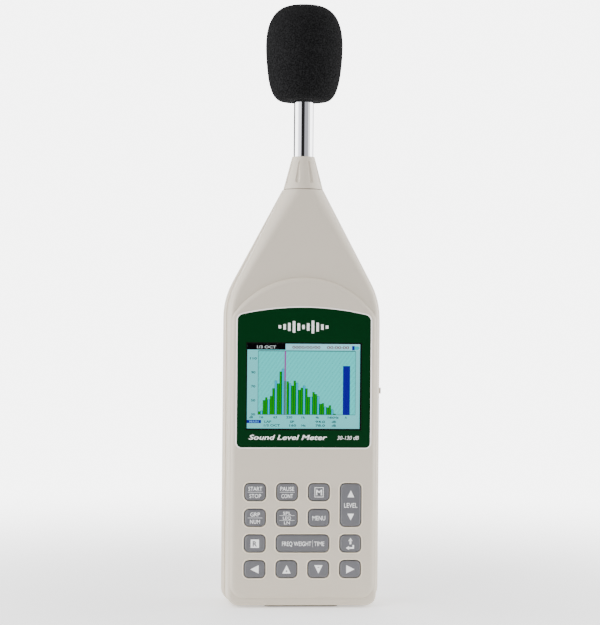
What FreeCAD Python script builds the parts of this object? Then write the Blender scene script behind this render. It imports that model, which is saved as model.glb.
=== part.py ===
import FreeCAD, Part

# A hand-held sound level meter with a colour display, a keypad and a half-inch microphone on a metal tube.
# Millimetres. +Z points up along the microphone, -Y is the front with the display and keys, and the origin is
# on the surface that the meter stands on, under the microphone's axis. The two case shells meet at y = 0.

import math
import os
import re

import Sketcher

doc = FreeCAD.newDocument("SoundLevelMeter")
Vector = FreeCAD.Vector

# ---------------------------------------------------------------------------------------------------------
# Driving sizes: every cell is a plain number in millimetres, unless its name says degrees, count or share
# ---------------------------------------------------------------------------------------------------------
SIZES = {
    # case outline
    "case_half_width": 50.0,
    "case_bottom": 0.3,
    "case_top": 262.3,
    "nose_half_width": 13.2,
    "shoulder_height": 192.8,
    "shoulder_radius": 48.0,
    "corner_radius": 7.5,
    "front_depth": 20.8,
    "rear_depth": 26.0,
    "nose_front_depth": 13.0,
    "nose_rear_depth": 13.2,
    "case_wall": 2.2,
    "nose_wall": 6.3,
    "front_draft": 1.2,
    "rear_draft": 1.0,
    "front_edge": 2.5,
    "rear_edge": 7.0,
    "nose_edge": 11.4,
    "side_lip": 2.3,
    "nose_lip": 0.5,
    "lip_start": 0.5,
    "lip_depth": 2.2,
    "lip_edge": 1.5,
    # raised face panel of the front shell
    "pod_half_width": 45.5,
    "pod_bottom": 5.7,
    "pod_crown": 206.5,
    "pod_arch_radius": 55.0,
    "pod_height": 1.6,
    "pod_corner": 9.0,
    "pod_blend": 9.0,
    "pod_edge": 3.4,
    # printed overlay, window and display
    "overlay_half_width": 41.8,
    "overlay_bottom": 100.2,
    "overlay_crown": 187.8,
    "overlay_arch_radius": 175.0,
    "overlay_corner": 3.4,
    "overlay_blend": 4.2,
    "overlay_thick": 0.4,
    "overlay_gap": 0.15,
    "screen_width": 70.6,
    "screen_height": 52.9,
    "screen_centre": 138.5,
    "screen_border": 0.9,
    "window_thick": 1.4,
    "module_width": 77.4,
    "module_height": 64.2,
    "module_thick": 3.4,
    "module_gap": 0.3,
    "backlight_thick": 2.0,
    # keypad
    "key_pitch_across": 19.9,
    "key_pitch_up": 16.0,
    "key_low_row": 24.6,
    "key_width": 12.6,
    "key_height": 10.3,
    "key_corner": 2.8,
    "key_edge": 0.8,
    "key_gap": 0.45,
    "key_proud": 1.2,
    "key_flange": 0.8,
    "key_flange_thick": 1.1,
    "flange_gap": 0.1,
    "rocker_gap": 1.1,
    "key_travel": 1.3,
    "key_stop": 0.3,
    "key_pill_radius": 2.6,
    "rim_chamfer": 0.45,
    "mat_margin": 3.0,
    "mat_thick": 1.1,
    "mat_gap": 0.3,
    # circuit boards
    "board_thick": 1.6,
    "board_half_width": 40.0,
    "board_level": 13.6,
    "board_low": 9.0,
    "board_high": 177.5,
    "board_boss_radius": 2.5,
    "board_screw_radius": 1.1,
    "board_screw_head": 2.3,
    "board_screw_rise": 1.4,
    "board_screw_bite": 4.2,
    "chip_rise": 1.6,
    "can_rise": 3.5,
    "clock_cell_radius": 10.0,
    "clock_cell_thick": 3.2,
    "amplifier_level": 6.2,
    "amplifier_half_width": 9.5,
    "amplifier_low": 190.0,
    "amplifier_high": 245.0,
    "ribbon_width": 12.0,
    "ribbon_thick": 0.4,
    "ribbon_bend": 3.5,
    "wire_radius": 0.6,
    # battery bay
    "cell_radius": 13.1,
    "cell_length": 50.0,
    "cell_pitch": 27.2,
    "cell_nub_radius": 3.3,
    "cell_nub": 1.5,
    "cell_hair": 0.05,
    "bay_low": 25.5,
    "spring_length": 5.2,
    "leaf_thick": 0.4,
    "leaf_width": 6.0,
    "leaf_reach": 6.0,
    "leaf_bend": 0.9,
    "contact_thick": 0.5,
    "contact_half_width": 8.0,
    "contact_tab": 3.5,
    "tray_wall": 1.5,
    "cell_gap": 0.3,
    "cover_cell_gap": 0.5,
    "ledge_width": 4.5,
    "cover_margin": 3.0,
    "cover_corner": 4.0,
    "cover_gap": 0.3,
    # screws and inserts
    "screw_radius": 1.5,
    "screw_head_radius": 2.8,
    "screw_head": 2.0,
    "screw_recess": 3.2,
    "screw_seat": 12.0,
    "screw_slack": 0.2,
    "boss_radius": 3.6,
    "rear_boss_radius": 4.8,
    "boss_seam": 0.15,
    "pilot_radius": 1.55,
    "screw_bite": 9.0,
    "low_screw_across": 39.5,
    "low_screw_height": 9.0,
    "mid_screw_across": 36.5,
    "mid_screw_height": 179.0,
    "top_screw_across": 15.5,
    "top_screw_height": 226.0,
    "insert_height": 158.0,
    "insert_radius": 5.0,
    "insert_bore": 2.6,
    "insert_boss": 7.5,
    "insert_depth": 10.0,
    "insert_floor": 1.0,
    # microphone and its collar
    "tube_radius": 6.35,
    "tube_wall": 0.95,
    "tube_low": 246.0,
    "tube_high": 331.0,
    "capsule_top": 345.0,
    "grid_height": 5.5,
    "grid_step": 0.25,
    "grid_wall": 0.6,
    "grid_lip": 0.4,
    "grid_slot_wide": 1.0,
    "grid_end_count": 4,
    "grid_end_pitch": 2.4,
    "grid_slot_count": 8,
    "collar_gap": 0.4,
    "collar_top": 283.4,
    "collar_low_radius": 12.6,
    "collar_top_radius": 7.1,
    "flute_count": 8,
    "flute_low_radius": 2.1,
    "flute_top_radius": 0.4,
    "flute_length": 12.5,
    "flute_start": 5.6,
    "flute_depth": 0.85,
    "slide_fit": 0.1,
    "thread_fit": 0.3,
    "spigot_radius": 8.2,
    "spigot_top": 269.0,
    "bush_flange_radius": 10.2,
    "bush_flange": 3.0,
    "ring_gap": 0.6,
    "ring_height": 1.6,
    "ring_radius": 7.6,
    "plug_thick": 3.0,
    "pin_radius": 0.45,
    "pin_circle": 3.2,
    "pin_length": 4.5,
    "pin_count": 5,
    "socket_radius": 5.9,
    "socket_low": 236.0,
    "socket_gap": 0.3,
    # windscreen
    "foam_bottom": 318.7,
    "foam_top": 380.0,
    "foam_radius": 24.5,
    "foam_bore_gap": 0.3,
    "foam_tip_gap": 1.5,
    # side fittings
    "switch_height": 135.0,
    "switch_knob_tall": 3.8,
    "switch_knob_deep": 3.0,
    "switch_travel": 4.5,
    "switch_proud": 1.3,
    "switch_depth": 6.0,
    "slot_gap": 0.3,
    "side_board_across": 31.4,
    "side_board_low": 58.0,
    "side_board_high": 146.0,
    "bay_centre": 86.0,
    "bay_tall": 54.0,
    "bay_deep": 13.0,
    "bay_depth": 11.0,
    "bay_wall": 3.4,
    "side_cover_thick": 1.5,
    "side_cover_gap": 0.25,
    "socket_pitch": 13.0,
    "trimmer_radius": 1.7,
    # foot
    "foot_width": 46.0,
    "foot_deep": 34.0,
    "foot_thick": 2.0,
    "foot_corner": 3.0,
    # reach of a cutter past its piece, laps and clearances
    "cut_over": 1.0,
    "pod_lap": 0.3,
    "window_lap": 1.5,
    "module_recess": 1.2,
    "board_screw_slack": 0.05,
    "foot_gap": 0.1,
    "side_gap": 0.2,
    "shoulder_section_count": 6,
    "taper_section_count": 12,
    # ribs and openings of the side wall
    "bay_rim": 2.0,
    "side_rib": 2.0,
    "side_rib_reach": 1.5,
    "side_board_front": 3.0,
    "side_board_back": 19.0,
    "socket_deep": 8.0,
    "supply_opening": 4.4,
    "output_opening": 3.6,
    "data_opening_deep": 2.4,
    "data_opening_tall": 4.3,
    "trimmer_opening": 2.3,
    "foot_centre": 3.0,
    # display module, cans, clock holder and grips
    "bezel_wall": 0.5,
    "bezel_front": 0.4,
    "panel_front": 0.45,
    "panel_back": 1.3,
    "post_inset": 5.0,
    "can_wall": 0.3,
    "clock_floor": 0.6,
    "clock_rim": 1.4,
    "clock_reach": 9.0,
    "tab_slot": 1.2,
    "grip_half_width": 9.0,
    "grip_deep": 0.6,
    "grip_tall": 1.2,
    "grip_pitch": 3.0,
    # jacks and trimmer
    "jack_gap": 0.3,
    "supply_half": 4.6,
    "supply_bore": 3.1,
    "supply_bore_deep": 9.0,
    "supply_pin": 1.05,
    "output_half": 3.2,
    "output_nose": 2.4,
    "output_radius": 3.3,
    "output_bore": 1.8,
    "output_bore_deep": 10.0,
    "data_half_deep": 1.95,
    "data_half_tall": 3.85,
    "data_nose": 1.6,
    "data_deep": 6.0,
    "data_wall": 0.35,
    "trimmer_half": 3.3,
    "trimmer_deep": 2.5,
    "trimmer_proud": 0.6,
}

sheet = doc.addObject("Spreadsheet::Sheet", "Sizes")
for row, (alias, number) in enumerate(SIZES.items(), start=1):
    sheet.set(f"A{row}", alias)
    sheet.set(f"B{row}", str(number))
    sheet.setAlias(f"B{row}", alias)
doc.recompute()


def size(alias):
    """The number in the cell of that name."""
    return float(sheet.get(alias))


def formula(text):
    """An expression with every cell's name written as the sheet's."""
    return re.sub(r"[a-z][a-z_0-9]*", lambda word: "Sizes." + word[0] if word[0] in SIZES else word[0],
        str(text))


# ---------------------------------------------------------------------------------------------------------
# Ways of making pieces, all sized by expressions on the sheet
# ---------------------------------------------------------------------------------------------------------
NODES = []
TURNS = {
    "X": FreeCAD.Rotation(Vector(0, 1, 0), 90),
    "Y": FreeCAD.Rotation(Vector(1, 0, 0), -90),
    "Z": FreeCAD.Rotation(),
}
# origin plane's role, and the row axes that its sketch's own x, y and normal follow
VIEWS = {"front": "XZ_Plane", "top": "XY_Plane", "side": "YZ_Plane"}


def node(piece, name):
    """Names a finished piece, so that it's written to parts/."""
    piece.Label = name
    NODES.append(piece)
    return piece


def place(piece, x=0, y=0, z=0):
    for axis, text in zip("xyz", (x, y, z)):
        piece.setExpression("Placement.Base." + axis, formula(text))
    return piece


def block(x, y, z):
    """A box between the given pairs of limits along X, Y and Z."""
    piece = doc.addObject("Part::Box", "Block")
    for side, limits in zip(("Length", "Width", "Height"), (x, y, z)):
        piece.setExpression(side, formula(f"({limits[1]}) - ({limits[0]})"))
    return place(piece, x[0], y[0], z[0])


def rod(along, centre, limits, radius):
    """A cylinder along a row axis, between two limits on it; centre gives its place on the two other axes."""
    piece = doc.addObject("Part::Cylinder", "Rod")
    piece.setExpression("Radius", formula(radius))
    piece.setExpression("Height", formula(f"({limits[1]}) - ({limits[0]})"))
    piece.Placement = FreeCAD.Placement(Vector(), TURNS[along])
    where = dict(zip([axis for axis in "XYZ" if axis != along], centre))
    where[along] = limits[0]
    return place(piece, where["X"], where["Y"], where["Z"])


def frustum(centre, limits, low_radius, high_radius):
    """A cone frustum along Z."""
    piece = doc.addObject("Part::Cone", "Frustum")
    piece.setExpression("Radius1", formula(low_radius))
    piece.setExpression("Radius2", formula(high_radius))
    piece.setExpression("Height", formula(f"({limits[1]}) - ({limits[0]})"))
    return place(piece, centre[0], centre[1], limits[0])


def fuse(pieces):
    joined = doc.addObject("Part::MultiFuse", "Fused")
    joined.Shapes = pieces
    return joined


def group(pieces):
    """Separate solids that share one node."""
    together = doc.addObject("Part::Compound", "Group")
    together.Links = pieces
    return together


def cut(base, tools):
    result = doc.addObject("Part::Cut", "CutPiece")
    result.Base = base
    result.Tool = tools[0] if len(tools) == 1 else fuse(tools)
    return result


def common(base, tool):
    result = doc.addObject("Part::Common", "Trimmed")
    result.Base = base
    result.Tool = tool
    return result


def made(shape):
    """A piece whose shape comes from Part's own functions."""
    piece = doc.addObject("Part::Feature", "Made")
    piece.Shape = shape
    return piece


def origin_plane(body, view):
    return next(plane for plane in body.Origin.OriginFeatures if plane.Role == VIEWS[view])


def rounded_sketch(body, view, wide, tall, corner, across=0, up=0, level=0):
    """A rectangle with round corners on a body's origin plane, moved by its attachment."""
    sketch = body.newObject("Sketcher::SketchObject", "Outline")
    sketch.AttachmentSupport = (origin_plane(body, view), "")
    sketch.MapMode = "FlatFace"
    for axis, text in zip("xyz", (across, up, level)):
        sketch.setExpression("AttachmentOffset.Base." + axis, formula(text))
    ends = [(-4, -5, 4, -5), (5, -4, 5, 4), (4, 5, -4, 5), (-5, 4, -5, -4)]
    middles = [(4, -4), (4, 4), (-4, 4), (-4, -4)]
    flat = Vector(0, 0, 1)
    for x0, y0, x1, y1 in ends:
        sketch.addGeometry(Part.LineSegment(Vector(x0, y0, 0), Vector(x1, y1, 0)))
    for turn, (x, y) in enumerate(middles):
        start = (turn - 1) * math.pi / 2
        circle = Part.Circle(Vector(x, y, 0), flat, 1)
        sketch.addGeometry(Part.ArcOfCircle(circle, start, start + math.pi / 2))
    rule = Sketcher.Constraint
    for line in range(4):
        sketch.addConstraint(rule("Tangent", line, 2, line + 4, 1))
        sketch.addConstraint(rule("Tangent", line + 4, 2, (line + 1) % 4, 1))
        sketch.addConstraint(rule("Horizontal" if line % 2 == 0 else "Vertical", line))
    for arc in (5, 6, 7):
        sketch.addConstraint(rule("Equal", 4, arc))
    sketch.addConstraint(rule("Symmetric", 4, 3, 6, 3, -1, 1))
    named = {
        "corner": (rule("Radius", 4, 1), corner),
        "wide": (rule("DistanceX", 3, 1, 1, 1, 10), wide),
        "tall": (rule("DistanceY", 0, 1, 2, 1, 10), tall),
    }
    for name, (constraint, text) in named.items():
        index = sketch.addConstraint(constraint)
        sketch.renameConstraint(index, name)
        sketch.setExpression("Constraints." + name, formula(text))
    return sketch


def pad(body, sketch, length):
    feature = body.newObject("PartDesign::Pad", "Pad")
    feature.Profile = sketch
    feature.setExpression("Length", formula(length))
    return feature


def plate(view, wide, tall, corner, across, up, limits):
    """A body with one pad: a plate with round corners between two limits on its view's depth axis."""
    body = doc.addObject("PartDesign::Body", "Plate")
    low, high = limits
    level = f"-({high})" if view == "front" else low
    pad(body, rounded_sketch(body, view, wide, tall, corner, across, up, level), f"({high}) - ({low})")
    return body


def edges_where(shape, test):
    """The names of a shape's edges whose middle passes a test."""
    middles = [edge.valueAt((edge.FirstParameter + edge.LastParameter) / 2) for edge in shape.Edges]
    return [f"Edge{number}" for number, middle in enumerate(middles, start=1) if test(middle)]


def soften(body, kind, text, test):
    """Adds a PartDesign fillet or chamfer on the edges of the body's tip whose middle passes a test."""
    doc.recompute()
    tip = body.Tip
    feature = body.newObject("PartDesign::" + kind, kind)
    feature.Base = (tip, edges_where(tip.Shape, test))
    feature.setExpression("Radius" if kind == "Fillet" else "Size", formula(text))
    return feature


def rounded_wire(points, radii):
    """A closed wire of straight lines, each corner rounded to its own radius, or sharp where that is 0."""
    edges, ends = [], []
    count = len(points)
    for index, (point, radius) in enumerate(zip(points, radii)):
        if not radius:
            ends.append((point, point))
            continue
        back = (points[index - 1] - point).normalize()
        ahead = (points[(index + 1) % count] - point).normalize()
        half = back.getAngle(ahead) / 2
        reach = radius / math.tan(half)
        centre = point + (back + ahead).normalize() * (radius / math.sin(half))
        middle = centre + (point - centre).normalize() * radius
        ends.append((point + back * reach, point + ahead * reach))
        edges.append((index, Part.Arc(ends[-1][0], middle, ends[-1][1]).toShape()))
    arcs = dict(edges)
    path = []
    for index in range(count):
        if index in arcs:
            path.append(arcs[index])
        path.append(Part.LineSegment(ends[index][1], ends[(index + 1) % count][0]).toShape())
    return Part.Wire(path)


# ---------------------------------------------------------------------------------------------------------
# Case form: half width, depths and edge radius at each height, then the solids that the shells come from
# ---------------------------------------------------------------------------------------------------------
TAPER = (size("case_half_width") - size("nose_half_width")) / (size("case_top") - size("shoulder_height"))
TAPER_ANGLE = math.atan(TAPER)
SHOULDER_REACH = size("shoulder_radius") * math.tan(TAPER_ANGLE / 2)
STRAIGHT_TOP = size("shoulder_height") - SHOULDER_REACH
ARC_TOP = size("shoulder_height") + SHOULDER_REACH * math.cos(TAPER_ANGLE)


def half_width(height):
    """Half the case's width: straight sides, a round shoulder, then a straight taper to the nose."""
    if height <= STRAIGHT_TOP:
        return size("case_half_width")
    if height >= ARC_TOP:
        return size("nose_half_width") + (size("case_top") - height) * TAPER
    radius = size("shoulder_radius")
    return size("case_half_width") - radius + math.sqrt(radius**2 - (height - STRAIGHT_TOP) ** 2)


def along_taper(height, low, high, power=1.0):
    """A size that goes from low at the top of the straight sides to high at the nose."""
    share = max(0.0, (height - STRAIGHT_TOP) / (size("case_top") - STRAIGHT_TOP))
    return low + (high - low) * share**power


def front_section(height, inset):
    """The front shell's half of the case at a height, taken in by an inset."""
    lip = along_taper(height, size("side_lip"), size("nose_lip"))
    at_seam = half_width(height) - lip - inset
    at_face = at_seam - size("front_draft")
    depth = along_taper(height, size("front_depth"), size("nose_front_depth"), 1.6) - inset
    radius = max(along_taper(height, size("front_edge"), size("nose_edge")) - inset, 0.6)
    seam = min(inset, 0.5)
    points = [(-at_seam, seam), (-at_face, -depth), (at_face, -depth), (at_seam, seam)]
    return rounded_wire([Vector(x, y, height) for x, y in points], [0, radius, radius, 0])


def rear_section(height, inset):
    """The rear shell's half of the case at a height, with the lip that stands proud of the front shell."""
    lip = along_taper(height, size("side_lip"), size("nose_lip"))
    widest = half_width(height) - inset
    at_seam = widest - lip * (1 - size("lip_start") / size("side_lip"))
    at_back = widest - size("rear_draft")
    depth = along_taper(height, size("rear_depth"), size("nose_rear_depth"), 1.6) - inset
    radius = max(along_taper(height, size("rear_edge"), size("nose_edge") - 1) - inset, 0.6)
    lip_edge = max(size("lip_edge") - inset, 0.4)
    seam = -min(inset, 0.5)
    points = [(at_seam, seam), (widest, size("lip_depth")), (at_back, depth)]
    points = points + [(-x, y) for x, y in reversed(points)]
    radii = [0, lip_edge, radius, radius, lip_edge, 0]
    return rounded_wire([Vector(x, y, height) for x, y in points], radii)


def upper_form(section, inset, top):
    """The case above its straight sides, as a smooth loft through its sections."""
    bend, rise = int(size("shoulder_section_count")), int(size("taper_section_count"))
    arc = [STRAIGHT_TOP + (ARC_TOP - STRAIGHT_TOP) * step / bend for step in range(bend + 1)]
    taper = [ARC_TOP + (top - ARC_TOP) * step / rise for step in range(1, rise + 1)]
    return Part.makeLoft([section(height, inset) for height in arc + taper], True, False)


def lower_outline(half, bottom, corner, depth):
    """The straight-sided part of the case seen from the front, at a depth."""
    points = [(-half, STRAIGHT_TOP), (-half, bottom), (half, bottom), (half, STRAIGHT_TOP)]
    return rounded_wire([Vector(x, depth, z) for x, z in points], [0, corner, corner, 0])


def edge_chain(shape, depth):
    """The edges at a depth of a straight-sided form, apart from those at its open top."""
    flat = [edge for edge in shape.Edges if abs(edge.BoundBox.YMin - depth) + abs(edge.BoundBox.YMax - depth) < 1e-6]
    return [edge for edge in flat if edge.BoundBox.ZMin < STRAIGHT_TOP - 1e-6]


def front_form(inset):
    """The solid that the front shell's outside, or its hollow, has."""
    half = size("case_half_width") - size("side_lip") - inset
    bottom = size("case_bottom") + inset
    corner = size("corner_radius") - inset
    draft = size("front_draft")
    depth = -size("front_depth") + inset
    low = Part.makeLoft([
        lower_outline(half, bottom, corner, min(inset, 0.5)),
        lower_outline(half - draft, bottom + draft, corner - draft, depth),
    ], True, True)
    low = low.makeFillet(max(size("front_edge") - inset, 0.6), edge_chain(low, depth))
    top = size("case_top") - (size("nose_wall") if inset else 0)
    return low.fuse(upper_form(front_section, inset, top)).removeSplitter()


def rear_form(inset):
    """The solid that the rear shell's outside, or its hollow, has."""
    half = size("case_half_width") - inset
    bottom = size("case_bottom") + inset
    corner = size("corner_radius") + size("side_lip") - inset
    draft = size("rear_draft")
    ledge = size("side_lip") - size("lip_start")
    depth = size("rear_depth") - inset
    low = Part.makeLoft([
        lower_outline(half - ledge, bottom, corner - ledge, -min(inset, 0.5)),
        lower_outline(half, bottom, corner, size("lip_depth")),
        lower_outline(half - draft, bottom + draft, corner - draft, depth),
    ], True, True)
    low = low.makeFillet(max(size("rear_edge") - inset, 0.6), edge_chain(low, depth))
    top = size("case_top") - (size("nose_wall") if inset else 0)
    return low.fuse(upper_form(rear_section, inset, top)).removeSplitter()


# outlines with an arched top, for the raised face panel and the overlay
def arched_plate(half, bottom, crown, arch, corner, blend, limits):
    """A plate seen from the front: straight sides and bottom, an arched top, and two depths."""
    spring = crown - arch + math.sqrt(arch**2 - half**2)
    low, high = limits
    points = [Vector(x, high, z) for x, z in ((half, spring), (half, bottom), (-half, bottom),
        (-half, spring))]
    sides = [Part.LineSegment(start, end).toShape() for start, end in zip(points, points[1:])]
    top = Part.Arc(points[3], Vector(0, high, crown), points[0]).toShape()
    form = Part.Face(Part.Wire(sides + [top])).extrude(Vector(0, low - high, 0))
    upright = [edge for edge in form.Edges if edge.BoundBox.YLength > 0.9 * (high - low)]
    upper = [edge for edge in upright if edge.BoundBox.ZMin > (bottom + crown) / 2]
    form = form.makeFillet(blend, upper)
    upright = [edge for edge in form.Edges if edge.BoundBox.YLength > 0.9 * (high - low)]
    lower = [edge for edge in upright if edge.BoundBox.ZMax < bottom + corner
        and edge.BoundBox.XLength < corner / 100]
    return form.makeFillet(corner, lower)


def sheet_sizes(*names):
    return [size(name) for name in names]


def soft_edges(base, kind, amount, test):
    """A Part fillet or chamfer on the edges of a piece whose bounding box passes a test."""
    doc.recompute()
    piece = doc.addObject("Part::" + kind, kind)
    piece.Base = base
    chosen = [number for number, edge in enumerate(base.Shape.Edges, start=1) if test(edge.BoundBox)]
    piece.Edges = [(number, amount, amount) for number in chosen]
    return piece


# depths that several pieces share, as expressions
PANEL_WIDE = "(module_width - 2 * (bezel_wall + side_gap))"
PANEL_TALL = "(module_height - 2 * (bezel_wall + side_gap))"
FACE = "-(front_depth + pod_height)"
WALL_BACK = "-(front_depth - case_wall)"
WINDOW_BACK = "-(front_depth + pod_height - overlay_thick - window_thick)"
MODULE_FRONT = "-(front_depth - case_wall + module_recess)"
MODULE_BACK = "-(front_depth - case_wall + module_recess - module_thick)"
BOARD_FRONT = "-board_level"
BOARD_BACK = "-(board_level - board_thick)"
CELL_DEPTH = "(rear_depth - case_wall - cover_cell_gap - cell_radius)"
BAY_HALF = "(cell_pitch / 2 + cell_radius + cell_gap)"
BAY_HIGH = "(bay_low + 2 * contact_thick + spring_length + 2 * cell_length)"
TRAY_FLOOR = "(rear_depth - case_wall - cover_cell_gap - 2 * cell_radius - cell_gap)"

# ---------------------------------------------------------------------------------------------------------
# Places of the keys and screws
# ---------------------------------------------------------------------------------------------------------
# column and row of each ordinary key, from the lower left
PUSH_KEYS = {
    "start_stop_key": (0, 3),
    "pause_key": (1, 3),
    "marker_key": (2, 3),
    "group_key": (0, 2),
    "view_key": (1, 2),
    "menu_key": (2, 2),
    "record_key": (0, 1),
    "enter_key": (3, 1),
    "left_key": (0, 0),
    "up_key": (1, 0),
    "down_key": (2, 0),
    "right_key": (3, 0),
}


def column(number):
    return f"({number} - 1.5) * key_pitch_across"


def key_row(number):
    return f"key_low_row + {number} * key_pitch_up"


TALL = "(key_height + key_pitch_up)"
WIDE = "(key_width + key_pitch_across)"
# name: centre across, centre up, width, height, places of the contact pills from the centre
KEYS = {name: (column(x), key_row(y), "key_width", "key_height", [("0", "0")]) for name,
    (x, y) in PUSH_KEYS.items()}
KEYS["level_key"] = (
    column(3), key_row(2.5), "key_width", TALL, [("0", "key_pitch_up / 2"), ("0", "-key_pitch_up / 2")],
)
KEYS["weighting_key"] = (
    "0", key_row(1), WIDE, "key_height", [("key_pitch_across / 2", "0"), ("-key_pitch_across / 2", "0")],
)
ROCKERS = ("level_key", "weighting_key")

CASE_SCREWS = [
    (f"{side} * {level}_screw_across", f"{level}_screw_height") for level in ("low", "mid",
        "top") for side in (-1, 1)
]
BOARD_SCREWS = [("-20", "12.5"), ("20", "12.5"), ("-36.8", "92.5"), ("36.8", "92.5"), ("-20", "174.3"),
    ("20", "174.3")]
AMPLIFIER_SCREWS = [("0", "199"), ("0", "230.5")]
SIDE_RIB = ("side_board_across - side_rib_reach", "case_half_width")
SIDE_DEEP = ("side_board_front", "side_board_back")
SOCKETS_UP = [f"bay_centre + ({step}) * socket_pitch" for step in (-1.5, -0.5, 0.5, 1.5)]

# ---------------------------------------------------------------------------------------------------------
# Front shell: a drafted tray with the raised face panel, key holes, display opening and screw bosses
# ---------------------------------------------------------------------------------------------------------
face = -size("front_depth") - size("pod_height")
pod = arched_plate(
    *sheet_sizes("pod_half_width", "pod_bottom", "pod_crown", "pod_arch_radius", "pod_corner", "pod_blend"),
    (face, -size("front_depth") + size("case_wall") + size("pod_lap")),
)
pod = pod.makeFillet(size("pod_edge"), [edge for edge in pod.Edges if edge.BoundBox.YMax < face + 1e-6])
front_body = made(front_form(0).fuse(pod).removeSplitter())
front_hollow = made(front_form(size("case_wall")))
front_inside = made(front_form(size("case_wall") / 2))
overlay = arched_plate(
    *sheet_sizes("overlay_half_width", "overlay_bottom", "overlay_crown", "overlay_arch_radius"),
    *sheet_sizes("overlay_corner", "overlay_blend"),
    (face, face + size("overlay_thick")),
)
overlay_recess = arched_plate(
    size("overlay_half_width") + size("overlay_gap"),
    size("overlay_bottom") - size("overlay_gap"),
    size("overlay_crown") + size("overlay_gap"),
    *sheet_sizes("overlay_arch_radius", "overlay_corner", "overlay_blend"),
    (face - 1, face + size("overlay_thick")),
)
screen_wide = "(screen_width + 2 * screen_border)"
screen_tall = "(screen_height + 2 * screen_border)"
window_wide = "(screen_width + 2 * screen_border + 2 * window_lap)"
window_tall = "(screen_height + 2 * screen_border + 2 * window_lap)"


def screen_block(wide, tall, limits, gap="0"):
    """A block centred on the display."""
    x = f"({wide}) / 2 + {gap}"
    z = f"({tall}) / 2 + {gap}"
    return block((f"-({x})", x), limits, (f"screen_centre - ({z})", f"screen_centre + {z}"))


front_cuts = [
    front_hollow,
    made(overlay_recess),
    screen_block(window_wide, window_tall, (FACE, WINDOW_BACK), "overlay_gap"),
    screen_block(screen_wide, screen_tall, (FACE, WALL_BACK)),
    screen_block("module_width", "module_height", (f"{MODULE_FRONT} - 0.1", f"{WALL_BACK} + cut_over"),
        "module_gap"),
    rod("Z", ("0", "0"), ("case_top - 2 * nose_wall", "case_top + cut_over"), "spigot_radius + slide_fit"),
    plate("top", "foot_width + 2 * foot_gap", "foot_deep + 2 * foot_gap", "foot_corner", "0", "foot_centre",
          ("-cut_over", "foot_thick")),
]
for name, (across, up, wide, tall, pills) in KEYS.items():
    front_cuts.append(plate(
        "front", f"{wide} + 2 * key_gap", f"{tall} + 2 * key_gap", "key_corner + key_gap", across, up,
        (f"{FACE} - cut_over", f"{WALL_BACK} + cut_over"),
    ))
front_open = cut(front_body, front_cuts)
front_bosses = []
for x, z in CASE_SCREWS:
    front_bosses.append(rod("Y", (x, z), ("-front_depth", "-boss_seam"), "boss_radius"))
for x, z in BOARD_SCREWS:
    front_bosses.append(rod("Y", (x, z), ("-front_depth", BOARD_FRONT), "board_boss_radius"))
front_bosses = common(fuse(front_bosses), front_inside)
pilots = [rod("Y", (x, z), ("-screw_bite - cut_over", "1"), "pilot_radius") for x, z in CASE_SCREWS]
for x, z in BOARD_SCREWS:
    pilots.append(rod("Y", (x, z), (f"{BOARD_FRONT} - board_screw_bite", f"{BOARD_FRONT} + cut_over"),
        "board_screw_radius + board_screw_slack"))
front_shell = cut(fuse([front_open, front_bosses]), pilots)


def hole_rim(box):
    at_face = box.YMax < face + 1e-6
    return at_face and box.ZMax < size("overlay_bottom") - 5 and abs(box.XMin) < 38 and box.ZMin > 15 and box.XMax < 38


node(soft_edges(front_shell, "Chamfer", size("rim_chamfer"), hole_rim), "front_shell")

# ---------------------------------------------------------------------------------------------------------
# Rear shell: battery tray, screw bosses, thread insert boss, and the side wall with its slot and sockets
# ---------------------------------------------------------------------------------------------------------
rear_body = made(rear_form(0))
rear_hollow = made(rear_form(size("case_wall")))
rear_inside = made(rear_form(size("case_wall") / 2))
side = "case_half_width"
bay_z = ("bay_centre - bay_tall / 2", "bay_centre + bay_tall / 2")
bay_y = ("bay_depth - bay_deep / 2", "bay_depth + bay_deep / 2")
outer_bay = f"({BAY_HALF} + tray_wall)"
SOCKET_IN = (f"{side} - socket_deep", side)
added = [rod("Y", (x, z), ("boss_seam", "rear_depth"), "rear_boss_radius") for x, z in CASE_SCREWS]
added += [
    block((f"-{outer_bay}", outer_bay), (f"{TRAY_FLOOR} - tray_wall", "rear_depth"),
          ("bay_low - tray_wall", f"{BAY_HIGH} + tray_wall")),
    block((f"-({BAY_HALF} + ledge_width)", f"{BAY_HALF} + ledge_width"), ("rear_depth - 2 * case_wall",
        "rear_depth"),
          ("bay_low - ledge_width", f"{BAY_HIGH} + ledge_width")),
    rod("Y", ("0", "insert_height"), ("rear_depth - insert_depth - 2 * insert_floor", "rear_depth"),
        "insert_boss"),
    block((f"{side} - side_cover_thick - bay_wall", side), ("bay_depth - bay_deep / 2 - bay_rim",
        "bay_depth + bay_deep / 2 + bay_rim"),
          ("bay_centre - bay_tall / 2 - bay_rim", "bay_centre + bay_tall / 2 + bay_rim")),
    block(SIDE_RIB, SIDE_DEEP, ("side_board_low - side_rib", "side_board_low - side_gap")),
    block(SIDE_RIB, SIDE_DEEP, ("side_board_high + side_gap", "side_board_high + side_rib")),
]
for x, z in AMPLIFIER_SCREWS:
    added.append(rod("Y", (x, z), ("amplifier_level + board_thick", "rear_depth"), "board_boss_radius"))
wide_form = made(rear_form(size("case_wall") / 2).fuse(
    Part.makeBox(90, 6, 150, Vector(-45, -5.5, 15))
))
added = common(fuse(added), wide_form)
rear_walls = fuse([cut(rear_body, [rear_hollow]), added])
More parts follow.
